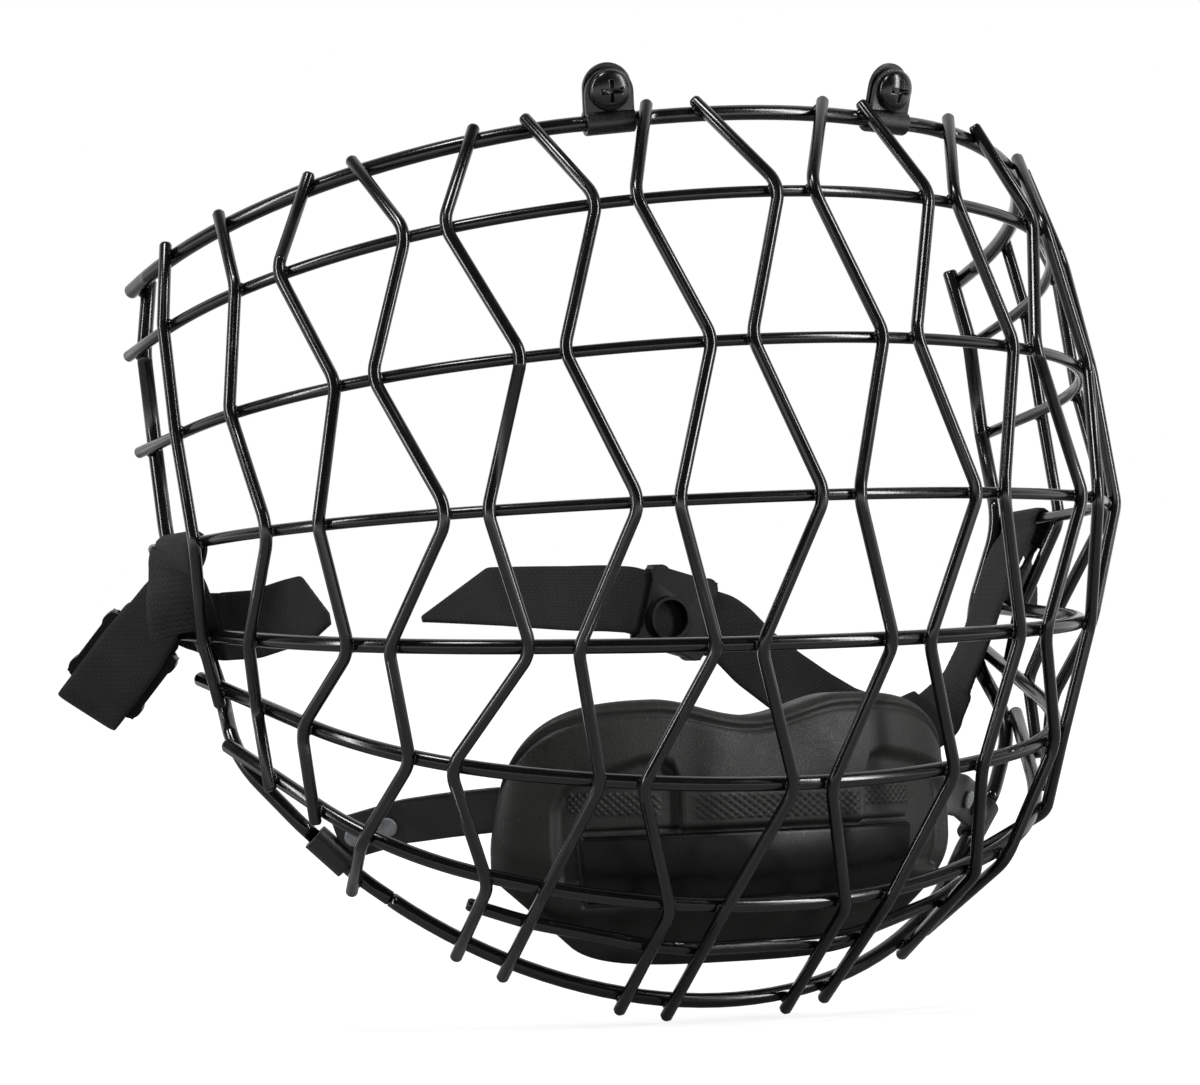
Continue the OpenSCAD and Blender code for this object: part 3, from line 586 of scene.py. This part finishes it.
slider_plastic = finish(
    "slider_plastic",
    GRAIN,
    {
        "Dark": (0.002, 0.002, 0.0021),
        "Light": (0.006, 0.006, 0.0062),
        "Speck": (0.03, 0.03, 0.03),
        "Size": 2000.0,
        "Depth": 0.00001,
        "Speck level": 0.74,
        "Smoothest": 0.3,
        "Roughest": 0.44,
    },
    Specular_IOR_Level=0.12,
)
WEBBING_PICK = 1.3
webbing = finish(
    "webbing_weave",
    WEAVE,
    {
        "Dark": (0.0022, 0.002, 0.0021),
        "Light": (0.021, 0.019, 0.0197),
        "Yarn": 0.8,
        "Pick": WEBBING_PICK,
        "Depth": 0.0001,
    },
    Specular_IOR_Level=0.25,
    Sheen_Weight=0.04,
    Sheen_Roughness=0.5,
)

# Cage: its wires, and the fillets of their welds

WIRES = [n for n in sorted(nodes) if "_wire" in n]


CUSHION_HALF_SIZE = (1.55, 1.55, 0.85)


def weld_fillets():
    """A small cushion of coat at each weld: a sphere flattened along the line between its two wires."""
    rings, around = 5, 10
    polar = np.linspace(0, np.pi, rings + 2)[1:-1]
    turn = np.linspace(0, 2 * np.pi, around, endpoint=False)
    p, t = np.meshgrid(polar, turn, indexing="ij")
    sphere = np.stack([np.sin(p) * np.cos(t), np.sin(p) * np.sin(t), np.cos(p)], -1).reshape(-1, 3)
    sphere = np.concatenate([sphere, [[0, 0, 1]], [[0, 0, -1]]])
    quads, start, stop = ring_faces(rings, around)
    shape = [*quads[:, ::-1], *start[:, ::-1], *stop[:, ::-1]]
    cushion = sphere * CUSHION_HALF_SIZE
    points, faces = [], []
    for i, (middle, out, heading) in enumerate(weld_places()):
        side = unit(np.cross(out, heading))
        points.append(middle + cushion @ np.array([heading, side, out]))
        faces += [f + i * len(sphere) for f in shape]
    return mesh_object("weld_fillets", np.concatenate(points), faces)


STEP_AT_BEND = 0.1  # spans the step of 0.02 mm in radius where a bend meets a straight run
for wire in WIRES:
    coated = merged_copy(wire, wire + "_coated", near=STEP_AT_BEND)
    dress(coated, nodes[wire]["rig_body"], "wire", powder_coat, wire)
fillets = weld_fillets()
dress(fillets, nodes["edge_wire"]["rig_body"], "wire", powder_coat)

# Forehead clips, their screws, the chin strap's loops and rivets, and the sliders

for side in SIDES:
    for part, slot, material, corner, edge in (
        ("clip", "clip", clip_paint, 35, 0.18),
        ("clip_screw", "screw", screw_black, 25, 0.0),
        ("chin_loop", "vinyl", vinyl, 40, 0.25),
        ("chin_rivets", "rivet", rivet_plastic, 40, 0.35),
        ("slider", "slider", slider_plastic, 40, 0.7),
    ):
        node = f"{side}_{part}"
        shaped = merged_copy(node, node + "_shaped", corner, edge)
        dress(shaped, nodes[node]["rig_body"], slot, material, node)

# Straps


def ribbon(name, route, width, thick, pitch=0.0, rib=0.0, ragged=0.0, spacing=0.35, relax=2.0):
    """A flat strap along a route of (place, direction of its width, share of its width, kept as given).

    Places and directions are spread evenly along it and relaxed by a bell curve. A direction is turned
    square to the strap by the share of it that isn't kept as given. Each section is a flat oval
    |x|^8 + |y|^3 = 1, ribbed across by a cosine of the distance along. The first end is cut raggedly."""
    place = np.array([r[0] for r in route], float)
    across = unit([r[1] for r in route])
    share = np.array([r[2] if len(r) > 2 else 1.0 for r in route])
    kept = np.array([float(len(r) > 3) for r in route])
    s = np.concatenate([[0], np.cumsum(np.linalg.norm(np.diff(place, axis=0), axis=1))])
    at = np.linspace(0, s[-1], int(s[-1] / spacing) + 1)
    table = np.concatenate([place, across, share[:, None], kept[:, None]], 1)
    even = np.stack([np.interp(at, s, column) for column in table.T], 1)
    even = smooth_along(even, relax)
    middle, across, share, kept = even[:, :3], even[:, 3:6], even[:, 6], even[:, 7:]
    run = unit(np.gradient(middle, axis=0))
    side = unit(across - (1 - kept) * run * np.sum(across * run, 1, keepdims=True))
    face = unit(np.cross(run, side))
    turn = np.linspace(0, 2 * np.pi, 44, endpoint=False)
    c, h = np.cos(turn), np.sin(turn)
    x = np.sign(c) * np.abs(c) ** 0.25
    y = np.sign(h) * np.abs(h) ** 0.6667
    height = np.full(len(at), thick / 2)
    if pitch:
        height *= 1 - rib + rib * np.cos(2 * np.pi * at / pitch)
    grid = (
        middle[:, None]
        + side[:, None] * (x[None] * width / 2 * share[:, None])[..., None]
        + face[:, None] * (y[None] * height[:, None])[..., None]
    )
    if ragged:
        u = x * width / 2
        tear = (1 + 0.5 * np.sin(u * 1.7) + 0.3 * np.sin(u * 4.1 + 1) + 0.2 * np.sin(u * 9.3 + 2)) / 2
        fade = np.exp(-at / 1.2)
        grid += run[:, None] * (ragged * tear[None] * fade[:, None])[..., None]
    obj = closed_rings(name, grid)
    across_at, along_at = np.broadcast_arrays(x * width / 2, at[:, None])
    follow = np.stack([across_at, along_at, np.zeros_like(along_at)], -1).reshape(-1, 3)
    keep_attribute(obj, "weave", np.concatenate([follow, [[0, 0, 0], [0, at[-1], 0]]]))
    return obj


def mirrored(route):
    """The same route on the other side of the mask."""
    flip = np.array([-1, 1, 1])
    return [(np.array(r[0]) * flip, np.array(r[1]) * flip, *r[2:]) for r in route]


WEBBING_W, WEBBING_T = 15.3, 1.6
PLAY = 0.08  # between a strap and the wire that it goes round
# The wrap's cross wire, its place on that wire, and its legs as a share of the wire's thickness
WRAP_ROW, WRAP_AT, WRAP_LEG = 3, 168.4, 0.75


def webbing_wrap():
    """The webbing over its cross wire, half a turn from its outer side to its inner side."""
    p, wire = on_cross(WRAP_ROW, WRAP_AT)
    outer = unit(np.cross(wire, [0, 0, 1]))
    up = np.cross(outer, wire)
    r = (CHEEK_D + WEBBING_T) / 2 + PLAY
    leg = up * CHEEK_D * WRAP_LEG
    arc = [p + outer * r * math.cos(a) + up * r * math.sin(a) for a in np.linspace(0, math.pi, 13)]
    return [(place, wire) for place in [p + outer * r - leg, *arc, p - outer * r - leg]]


# The straps' routes on the wearer's left, as in the part's source: place, direction of the width, its share
SHORT_END = [
    ((108.8, 72.6, -111.8), (0.85, 0.42, -0.42)),
    ((109.9, 72, -107.5), (0.85, 0.52, -0.1)),
    ((111.2, 71.1, -102), (0.6, 0.8, 0)),
    ((112.3, 71.2, -97), (0.25, 0.97, 0)),
]
NEAR_RUN = [
    ((109.4, 71.5, -96.5), (0.1, 1, 0), 0.8),
    ((110.3, 74.5, -99.5), (0.38, 0.66, 0.65), 0.55),
    ((111, 78.5, -104), (0.49, 0.5, 0.71), 0.75),
    ((112.2, 82.3, -109), (0.55, 0.5, 0.65), 0.9),
    ((115, 86, -114.5), (0.65, 0.5, 0.57)),
    ((118.3, 89.8, -120.5), (0.7, 0.45, 0.55)),
]
NEAR_FOLD = np.array([122.2, 94.1, -127.2])
NEAR_FOLD_R = 2.2
FOLD_ACROSS = (0.72, 0.4, 0.56)
FLAT_TAIL = (3, 22.5)  # where the tail's flat stretch starts and ends, from the fold
NEAR_TAIL = [
    ((108, 87.8, -108.6), (0.62, 0.37, 0.69), 0.8),
    ((104.5, 87.4, -108), (0.4, 0.25, 0.88), 0.7),
    ((100.5, 85, -109), (0.2, 0.15, 0.97), 0.85),
    ((96.8, 79, -110.4), (0.05, 0.05, 1)),
    ((93.5, 68, -110), (0, 0, 1)),
    ((91, 57, -107.8), (0, 0, 1)),
    ((89.8, 50.4, -106.8), (0, 0.28, 0.96), 1, True),
    ((88.2, 43, -109), (0, 0.28, 0.96), 0.2, True),
]
FAR_RUN = [
    ((105.5, 70.2, -98), (0, 1, 0)),
    ((102, 70, -104), (0.05, 1, 0)),
    ((99, 70, -110.5), (0.1, 0.98, 0.05)),
    ((96.8, 70.5, -117), (0.15, 0.95, 0.15)),
    ((94.6, 72.5, -123.5), (0.2, 0.9, 0.3)),
    ((92.6, 75, -130), (0.2, 0.8, 0.5)),
    ((88.5, 76.5, -135.8), (0.15, 0.55, 0.8)),
    ((81.5, 77.5, -139.6), (0.1, 0.2, 0.96)),
    ((72, 77.5, -139.5), (0.15, 0, 0.98)),
    ((63.5, 77.3, -136.6), (0.35, 0, 0.93)),
    ((56, 77, -132.6), (0.5, 0, 0.86)),
    ((47.5, 77, -127.2), (0.53, 0, 0.85)),
    ((39.5, 77, -121.5), (0.5, 0, 0.87)),
    ((34, 77, -116.2), (0.3, 0, 0.95)),
    ((31, 77, -114.2), (0.275, 0, 0.96)),
    ((7, 77, -107.3), (0.275, 0, 0.96)),
    ((0.5, 77, -106.8), (0.1, 0.1, 1)),
    ((-8, 77, -106.6), (0, 0.25, 0.97)),
    ((-28, 77, -105.6), (0, 0.5, 0.87), 1, True),
    ((-48.4, 73.8, -110), (0, 0.5, 0.87), 0.1, True),
]


def near_route():
    """The near strap: its short end, its loop, out past the ear edge to its fold, and its tail inside."""
    run = unit(NEAR_FOLD - np.array(NEAR_RUN[-1][0]))
    inner = unit(np.cross(FOLD_ACROSS, run))
    fold = []
    for a in np.linspace(0, math.pi, 9):
        place = NEAR_FOLD + run * NEAR_FOLD_R * math.sin(a) + inner * NEAR_FOLD_R * (1 - math.cos(a))
        fold.append((place, FOLD_ACROSS))
    start = fold[-1][0]
    tail = [(start - run * s, FOLD_ACROSS) for s in FLAT_TAIL]
    return SHORT_END + webbing_wrap() + NEAR_RUN + fold + tail + NEAR_TAIL


CHIN_STRAP_W, CHIN_STRAP_T = 10, 1.4
BEND_SWELL = 0.04  # extra diameter of every other stretch of a wire
LOOP_AT = np.array([84.04, 52.85, -160.7])
LOOP_WIRE = (0.6627, 0.2946, 0.6885)
LOOP_RUN = np.array([-0.465, -0.5588, 0.6867])
RIVET_RUN = (-0.69, -0.68, 0.25)
RIVET_FLAT = (-0.9, 3, 13, 14.5)
CHIN_ROUTE = [
    ((63.96, 34.82, -153.2), (0.1, 0.1, 1)),
    ((55.96, 29.42, -152.4), (0, 0, 1)),
    ((52.16, 27.12, -152.2), (0, 0, 1)),
    ((50.36, 24.52, -152), (0, 0, 1)),
    ((48.16, 22.22, -152), (0, 0, 1)),
]


def chin_strap_route():
    """The chin strap: from its loop, flat where its rivets are, and round behind the side of the cup."""
    start = LOOP_AT + LOOP_RUN * ((EDGE_D + BEND_SWELL) / 2 + PLAY + CHIN_STRAP_T + CHIN_STRAP_T / 2)
    run = unit(RIVET_RUN)
    flat = [(start + run * s, LOOP_WIRE) for s in RIVET_FLAT]
    return flat + CHIN_ROUTE


CHIN_ROUTES = {"left": chin_strap_route(), "right": mirrored(chin_strap_route())}
for side, route in CHIN_ROUTES.items():
    strap = ribbon(f"{side}_chin_strap_vinyl", route, CHIN_STRAP_W, CHIN_STRAP_T)
    node = f"{side}_chin_strap"
    dress(strap, nodes[node]["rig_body"], "vinyl", vinyl, node)

SIDE_ROUTES = {"left": SHORT_END + webbing_wrap() + FAR_RUN, "right": mirrored(near_route())}
for side, route in SIDE_ROUTES.items():
    name = f"{side}_side_strap_webbing"
    strap = ribbon(name, route, WEBBING_W, WEBBING_T, pitch=WEBBING_PICK, rib=0.07, ragged=0.8)
    node = f"{side}_side_strap"
    dress(strap, nodes[node]["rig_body"], "webbing", webbing, node)

# Chin cup and its band

CUP_HALF_W, CUP_Y, CUP_BULGE, CUP_WRAP = 58.4, 25.5, 17.5, 94
HUMP_Z, SADDLE, BOTTOM_Z, WALL, EDGE_WALL = -129, 4.2, -188.5, 8, 4.5
BAND_Z, BAND_W, BAND_T, BAND_REACH, BAND_STEP = -158.5, 15.5, 1.2, 47, 0.8
HUMP_AT, SHOULDER_DROP, SHOULDER_CURVE, SIDE_RISE, LEAN, TUCK, FLOOR = 26, 25, 2.6, 13, 2, 16, 5
LIP_R, END_R, INNER_LIP_R, INNER_END_R = 1.7, 1.6, 1.8, 1.4
FINE_FROM, FINE_TO = -54, 52  # the angles between which the rings are close, for the diamonds
POCKET_LOW, POCKET_DEPTH, KNURL_HEIGHT = -170, 2.6, 0.6
# Each pocket's arch as angles and heights, and each knurled strip as its two angles and the heights of its
# upper and lower edges there
LEFT_ARCH = (
    [-57, -53, -48, -40, -30, -25, -21, -18.5],
    [-153, -148, -145.5, -144, -141.5, -141, -143, -149],
)
RIGHT_ARCH = ([29, 32, 36, 50, 64, 69, 73], [-149, -143, -141.5, -143, -145.5, -147, -152])
KNURLED = (
    (-53, -24, [-148.5, -149.5], [-154, -155.2]),
    (-17, 28, [-150, -150.5], [-156, -156.6]),
    (32, 51, [-149, -149.5], [-154.5, -155]),
)


def cup_top(a):
    """Height of the top edge at an angle: a raised cosine from the saddle to a hump, then a falling power
    curve."""
    t = np.abs(a)
    middle = HUMP_Z - SADDLE * (1 + np.cos(np.pi * t / HUMP_AT)) / 2
    shoulder = HUMP_Z - SHOULDER_DROP * (np.maximum(t - HUMP_AT, 0) / (CUP_WRAP - HUMP_AT)) ** SHOULDER_CURVE
    return np.where(t < HUMP_AT, middle, shoulder)


def cup_bottom(a):
    """Height of the bottom edge, which rises by the cube of the angle."""
    return BOTTOM_Z + SIDE_RISE * (np.abs(a) / CUP_WRAP) ** 3


def cup_place(a, z, depth):
    """A place at an angle and a height, a depth below the cup's face: an ellipse that leans in at its top by
    a square and tucks under by a power of 2.2."""
    v = (cup_top(a) - z) / (cup_top(a) - cup_bottom(a))
    inwards = LEAN * np.maximum(0, 1 - v / 0.4) ** 2 + TUCK * np.maximum(0, (v - 0.5) / 0.5) ** 2.2 + depth
    angle = np.radians(a)
    across, out = (CUP_HALF_W - inwards) * np.sin(angle), (CUP_BULGE - inwards) * np.cos(angle)
    return np.stack([across, CUP_Y - out, z + 0 * a], -1)


def rounded_off(distance, r):
    """How far a surface falls away within a rounded corner: r minus the circle's height at that distance."""
    d = np.clip(distance, 0, r)
    return r - np.sqrt(r * r - (r - d) ** 2)


def knurl(a, z, a0, a1, z_high, z_low):
    """Raised diamonds in a strip: the lower of two triangle waves, 1 - |2 frac(t) - 1|, along two slants,
    fading at the strip's edges."""
    x = np.radians(a) * CUP_HALF_W
    waves = [1 - np.abs(2 * ((x / 2.4 + turn * z / 1.7) % 1) - 1) for turn in (1, -1)]
    diamonds = np.minimum(*waves)
    high = np.interp(a, [a0, a1], z_high)
    low = np.interp(a, [a0, a1], z_low)
    between = diamonds * ease(a, a0, a0 + 2) * ease(-a, -a1, 2 - a1)
    return between * ease(high - z, 0, 0.8) * ease(z - low, 0, 0.8)


def pocket(a, z, arch_a, arch_z):
    """1 inside a pocket under an arch, easing to 0 over its rims: the product of four smooth cubics."""
    left, right = arch_a[0], arch_a[-1]
    between = ease(a, left, left + 2.2) * ease(-a, -right, 1.6 - right)
    arch = np.interp(a, arch_a, arch_z)
    return between * ease(arch - z, -0.4, 2.4) * ease(z, POCKET_LOW, POCKET_LOW + 2)


def cup_relief(a, z):
    """Depth of the cup's moulding below its plain face: lip, top groove, two arched pockets, knurled strips,
    and the step over the band."""
    from_top = cup_top(a) - z
    side = 1 - ease(np.abs(a), 78, 90)
    deep = rounded_off(from_top, LIP_R)
    deep = deep + 0.9 * np.exp(-(((from_top - 3.1) / 0.55) ** 2)) * side
    deep = deep - 0.35 * np.exp(-(((from_top - 1.9) / 0.8) ** 2)) * side
    deep = deep + POCKET_DEPTH * np.maximum(pocket(a, z, *LEFT_ARCH), pocket(a, z, *RIGHT_ARCH))
    for strip in KNURLED:
        deep = deep - KNURL_HEIGHT * knurl(a, z, *strip)
    in_band = ease(BAND_REACH + 3 - np.abs(a), 0, 1.5)
    band_low = BAND_Z - BAND_W
    recess = ease(-z, -(BAND_Z + BAND_STEP), -(BAND_Z + 0.1)) * ease(z, band_low - BAND_STEP, band_low - 0.1)
    plain = deep * (1 - in_band * recess) + in_band * recess * (BAND_T + 0.05)
    groove = 1.3 * np.exp(-(((z - BAND_Z - 0.3) / 0.8) ** 2)) * in_band
    below = ease(52 - np.abs(a), 0, 5) * ease(-z, 175.8, 177.4) * ease(z - cup_bottom(a), 2.2, 4.5)
    return plain + groove + 0.9 * below


def chin_cup_skin():
    """The cup's skin, a ring at each angle: down its face, under its lower lip and up its inner wall."""
    a = np.concatenate(
        [
            np.linspace(-CUP_WRAP, FINE_FROM, 56)[:-1],
            np.linspace(FINE_FROM, FINE_TO, 354),
            np.linspace(FINE_TO, CUP_WRAP, 58)[1:],
        ]
    )[:, None]
    top, low = cup_top(a), cup_bottom(a)
    high = BAND_Z + BAND_STEP
    under = BAND_Z - BAND_W
    pace = np.concatenate([np.linspace(0, 0.6, 24), np.linspace(0.6, 1, 42)[1:]])[None, 1:]
    face = np.concatenate(
        [
            top - rounded_rows(LIP_R, 7),
            (top - LIP_R) + (high - top + LIP_R) * pace,
            np.broadcast_to(high - np.linspace(0, BAND_STEP + BAND_W, 22)[None, 1:], (len(a), 21)),
            under + (low - under) * np.linspace(0, 1, 34)[None, 1:],
        ],
        1,
    )
    angle = np.broadcast_to(a, face.shape)
    to_end = np.radians(CUP_WRAP - np.abs(angle)) * CUP_HALF_W
    outer = cup_place(angle, face, cup_relief(angle, face) + rounded_off(to_end, END_R))
    upwards = np.linspace(1, 0, 20)[None]
    back = top + (low + FLOOR - top) * upwards
    level = top + (low - top) * upwards
    angle = np.broadcast_to(a, back.shape)
    to_end = np.radians(CUP_WRAP - np.abs(angle)) * CUP_HALF_W
    wall = WALL + (EDGE_WALL - WALL) * np.abs(angle) / CUP_WRAP
    wall = wall - rounded_off(top - back, INNER_LIP_R) - rounded_off(to_end, INNER_END_R)
    inner = cup_place(angle, level, wall)
    inner[..., 2] = back
    return closed_rings("chin_cup_skin", np.concatenate([outer, inner], 1), split=outer.shape[1])


def rounded_rows(r, count):
    """Distances from an edge that are even round a quarter circle of radius r."""
    return r * (1 - np.cos(np.linspace(0, np.pi / 2, count)))[None]


def band_skin():
    """The smooth band in its recess, domed by the sine across it, its edges and ends rounded by circles."""
    across = np.linspace(0, 1, 40)[None]
    gap, edge_r, dome_height = 0.2, 0.9, 0.12
    angle = np.linspace(-BAND_REACH, BAND_REACH, 161)[:, None]
    angle, z = np.broadcast_arrays(angle, BAND_Z - gap - (BAND_W - 2 * gap) * across)
    from_edge = np.minimum(BAND_Z - gap - z, z - (BAND_Z - BAND_W + gap))
    from_end = np.radians(BAND_REACH - np.abs(angle)) * CUP_HALF_W
    dome = rounded_off(from_edge, edge_r) + rounded_off(from_end, edge_r)
    dome = dome - dome_height * np.sin(np.pi * across)
    outer = cup_place(angle, z, dome)
    inner = cup_place(angle, z, BAND_T - gap)[:, ::-1]
    return closed_rings("chin_cup_band_skin", np.concatenate([outer, inner], 1))


cup_body = nodes["chin_cup"]["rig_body"]
dress(chin_cup_skin(), cup_body, "cup", cup_skin, "chin_cup")
dress(band_skin(), cup_body, "band", band_gloss, "chin_cup_band")

# Floor, light and camera


def seen_directly(tree):
    """1 for what the camera sees, also in a reflection or through a clear part, and 0 for other light."""
    path = tree.nodes.new("ShaderNodeLightPath")
    first = maths(tree, "MAXIMUM", path.outputs["Is Camera Ray"], path.outputs["Is Glossy Ray"])
    return maths(tree, "MAXIMUM", first, path.outputs["Is Transmission Ray"])


def pale_floor():
    """A pale floor just under the mask, which turns white further out."""
    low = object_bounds()[0][2]
    bpy.ops.mesh.primitive_plane_add(size=12, location=(0, 0.05, low - 0.0005))
    floor = bpy.context.active_object
    floor.name = "floor"
    material = bpy.data.materials.new("pale_floor")
    material.use_nodes = True
    tree = material.node_tree
    tree.nodes.clear()
    out = tree.nodes.new("ShaderNodeOutputMaterial")
    plain = tree.nodes.new("ShaderNodeBsdfDiffuse")
    plain.inputs["Color"].default_value = (0.35, 0.35, 0.35, 1)
    glow = tree.nodes.new("ShaderNodeEmission")
    place = tree.nodes.new("ShaderNodeVectorMath")
    place.operation = "LENGTH"
    tree.links.new(tree.nodes.new("ShaderNodeTexCoord").outputs["Object"], place.inputs[0])
    far = tree.nodes.new("ShaderNodeMapRange")
    far.interpolation_type = "SMOOTHSTEP"
    far.inputs["From Min"].default_value = 0.25
    far.inputs["From Max"].default_value = 0.75
    tree.links.new(place.outputs["Value"], far.inputs["Value"])
    far_white = maths(tree, "MULTIPLY", seen_directly(tree), far.outputs["Result"])
    path = tree.nodes.new("ShaderNodeLightPath")
    near_white = maths(tree, "MULTIPLY", path.outputs["Is Camera Ray"], 0.78)
    tree.links.new(maths(tree, "MAXIMUM", far_white, near_white), glow.inputs["Strength"])
    add = tree.nodes.new("ShaderNodeAddShader")
    tree.links.new(plain.outputs[0], add.inputs[0])
    tree.links.new(glow.outputs[0], add.inputs[1])
    tree.links.new(add.outputs[0], out.inputs["Surface"])
    floor.data.materials.append(material)
    floor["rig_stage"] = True


def white_surround():
    """A world that is white to the camera and an even grey light on surfaces; in reflections it is white
    behind the mask and dark before it."""
    world = bpy.data.worlds.new("white_surround")
    bpy.context.scene.world = world
    world.use_nodes = True
    tree = world.node_tree
    tree.nodes.clear()
    out = tree.nodes.new("ShaderNodeOutputWorld")
    light = tree.nodes.new("ShaderNodeBackground")
    light.inputs["Color"].default_value = (1, 1, 1, 1)
    light.inputs["Strength"].default_value = 0.35
    seen = tree.nodes.new("ShaderNodeBackground")
    seen.inputs["Color"].default_value = (1, 1, 1, 1)
    behind = tree.nodes.new("ShaderNodeVectorMath")
    behind.operation = "DOT_PRODUCT"
    behind.inputs[1].default_value = (0.485, 0.875, 0)
    tree.links.new(tree.nodes.new("ShaderNodeTexCoord").outputs["Generated"], behind.inputs[0])
    backdrop = tree.nodes.new("ShaderNodeMapRange")
    backdrop.interpolation_type = "SMOOTHSTEP"
    backdrop.inputs["From Min"].default_value = 0
    backdrop.inputs["From Max"].default_value = 0.6
    backdrop.inputs["To Min"].default_value = 0.05
    tree.links.new(behind.outputs["Value"], backdrop.inputs["Value"])
    path = tree.nodes.new("ShaderNodeLightPath")
    white = maths(tree, "MAXIMUM", path.outputs["Is Camera Ray"], backdrop.outputs["Result"])
    tree.links.new(white, seen.inputs["Strength"])
    mix = tree.nodes.new("ShaderNodeMixShader")
    tree.links.new(seen_directly(tree), mix.inputs[0])
    tree.links.new(light.outputs[0], mix.inputs[1])
    tree.links.new(seen.outputs[0], mix.inputs[2])
    tree.links.new(mix.outputs[0], out.inputs["Surface"])


def soft_lamps():
    """Three rectangles of light aimed at the mask, with their places and sizes in metres."""
    aimed_at = Vector((0, 0.05, -0.1))
    for name, place, size, power in (
        ("top_lamp", (-0.6, -0.3, 1.1), (0.3, 0.3), 8.0),
        ("left_lamp", (-1.27, 0.19, 0.35), (0.14, 1.1), 10.5),
        ("right_lamp", (0.83, -0.98, 0.35), (0.18, 1.1), 15.0),
    ):
        lamp = bpy.data.lights.new(name, "AREA")
        lamp.shape = "RECTANGLE"
        lamp.energy = power
        lamp.size, lamp.size_y = size
        holder = bpy.data.objects.new(name, lamp)
        bpy.context.scene.collection.objects.link(holder)
        holder.location = place
        holder.rotation_euler = (aimed_at - Vector(place)).to_track_quat("-Z", "Y").to_euler()


def camera():
    """The photograph's view: level, from the wearer's right front, with a small roll."""
    azimuth, roll = math.radians(-29), math.radians(-1.646)
    ahead = Vector((-math.sin(azimuth), math.cos(azimuth), 0))
    right = Vector((math.cos(azimuth), math.sin(azimuth), 0))
    up = Vector((0, 0, 1))
    tilted_right = right * math.cos(roll) + up * math.sin(roll)
    tilted_up = -right * math.sin(roll) + up * math.cos(roll)
    data = bpy.data.cameras.new("view")
    data.sensor_width = 36
    data.lens = 249.36
    data.clip_end = 50
    holder = bpy.data.objects.new("view", data)
    bpy.context.scene.collection.objects.link(holder)
    turn = Matrix((tilted_right, tilted_up, -ahead)).transposed().to_4x4()
    holder.matrix_world = Matrix.Translation((-0.9234, -1.5882, -0.0940)) @ turn
    bpy.context.scene.camera = holder


pale_floor()
white_surround()
soft_lamps()
camera()
bpy.context.scene.view_settings.view_transform = "Standard"
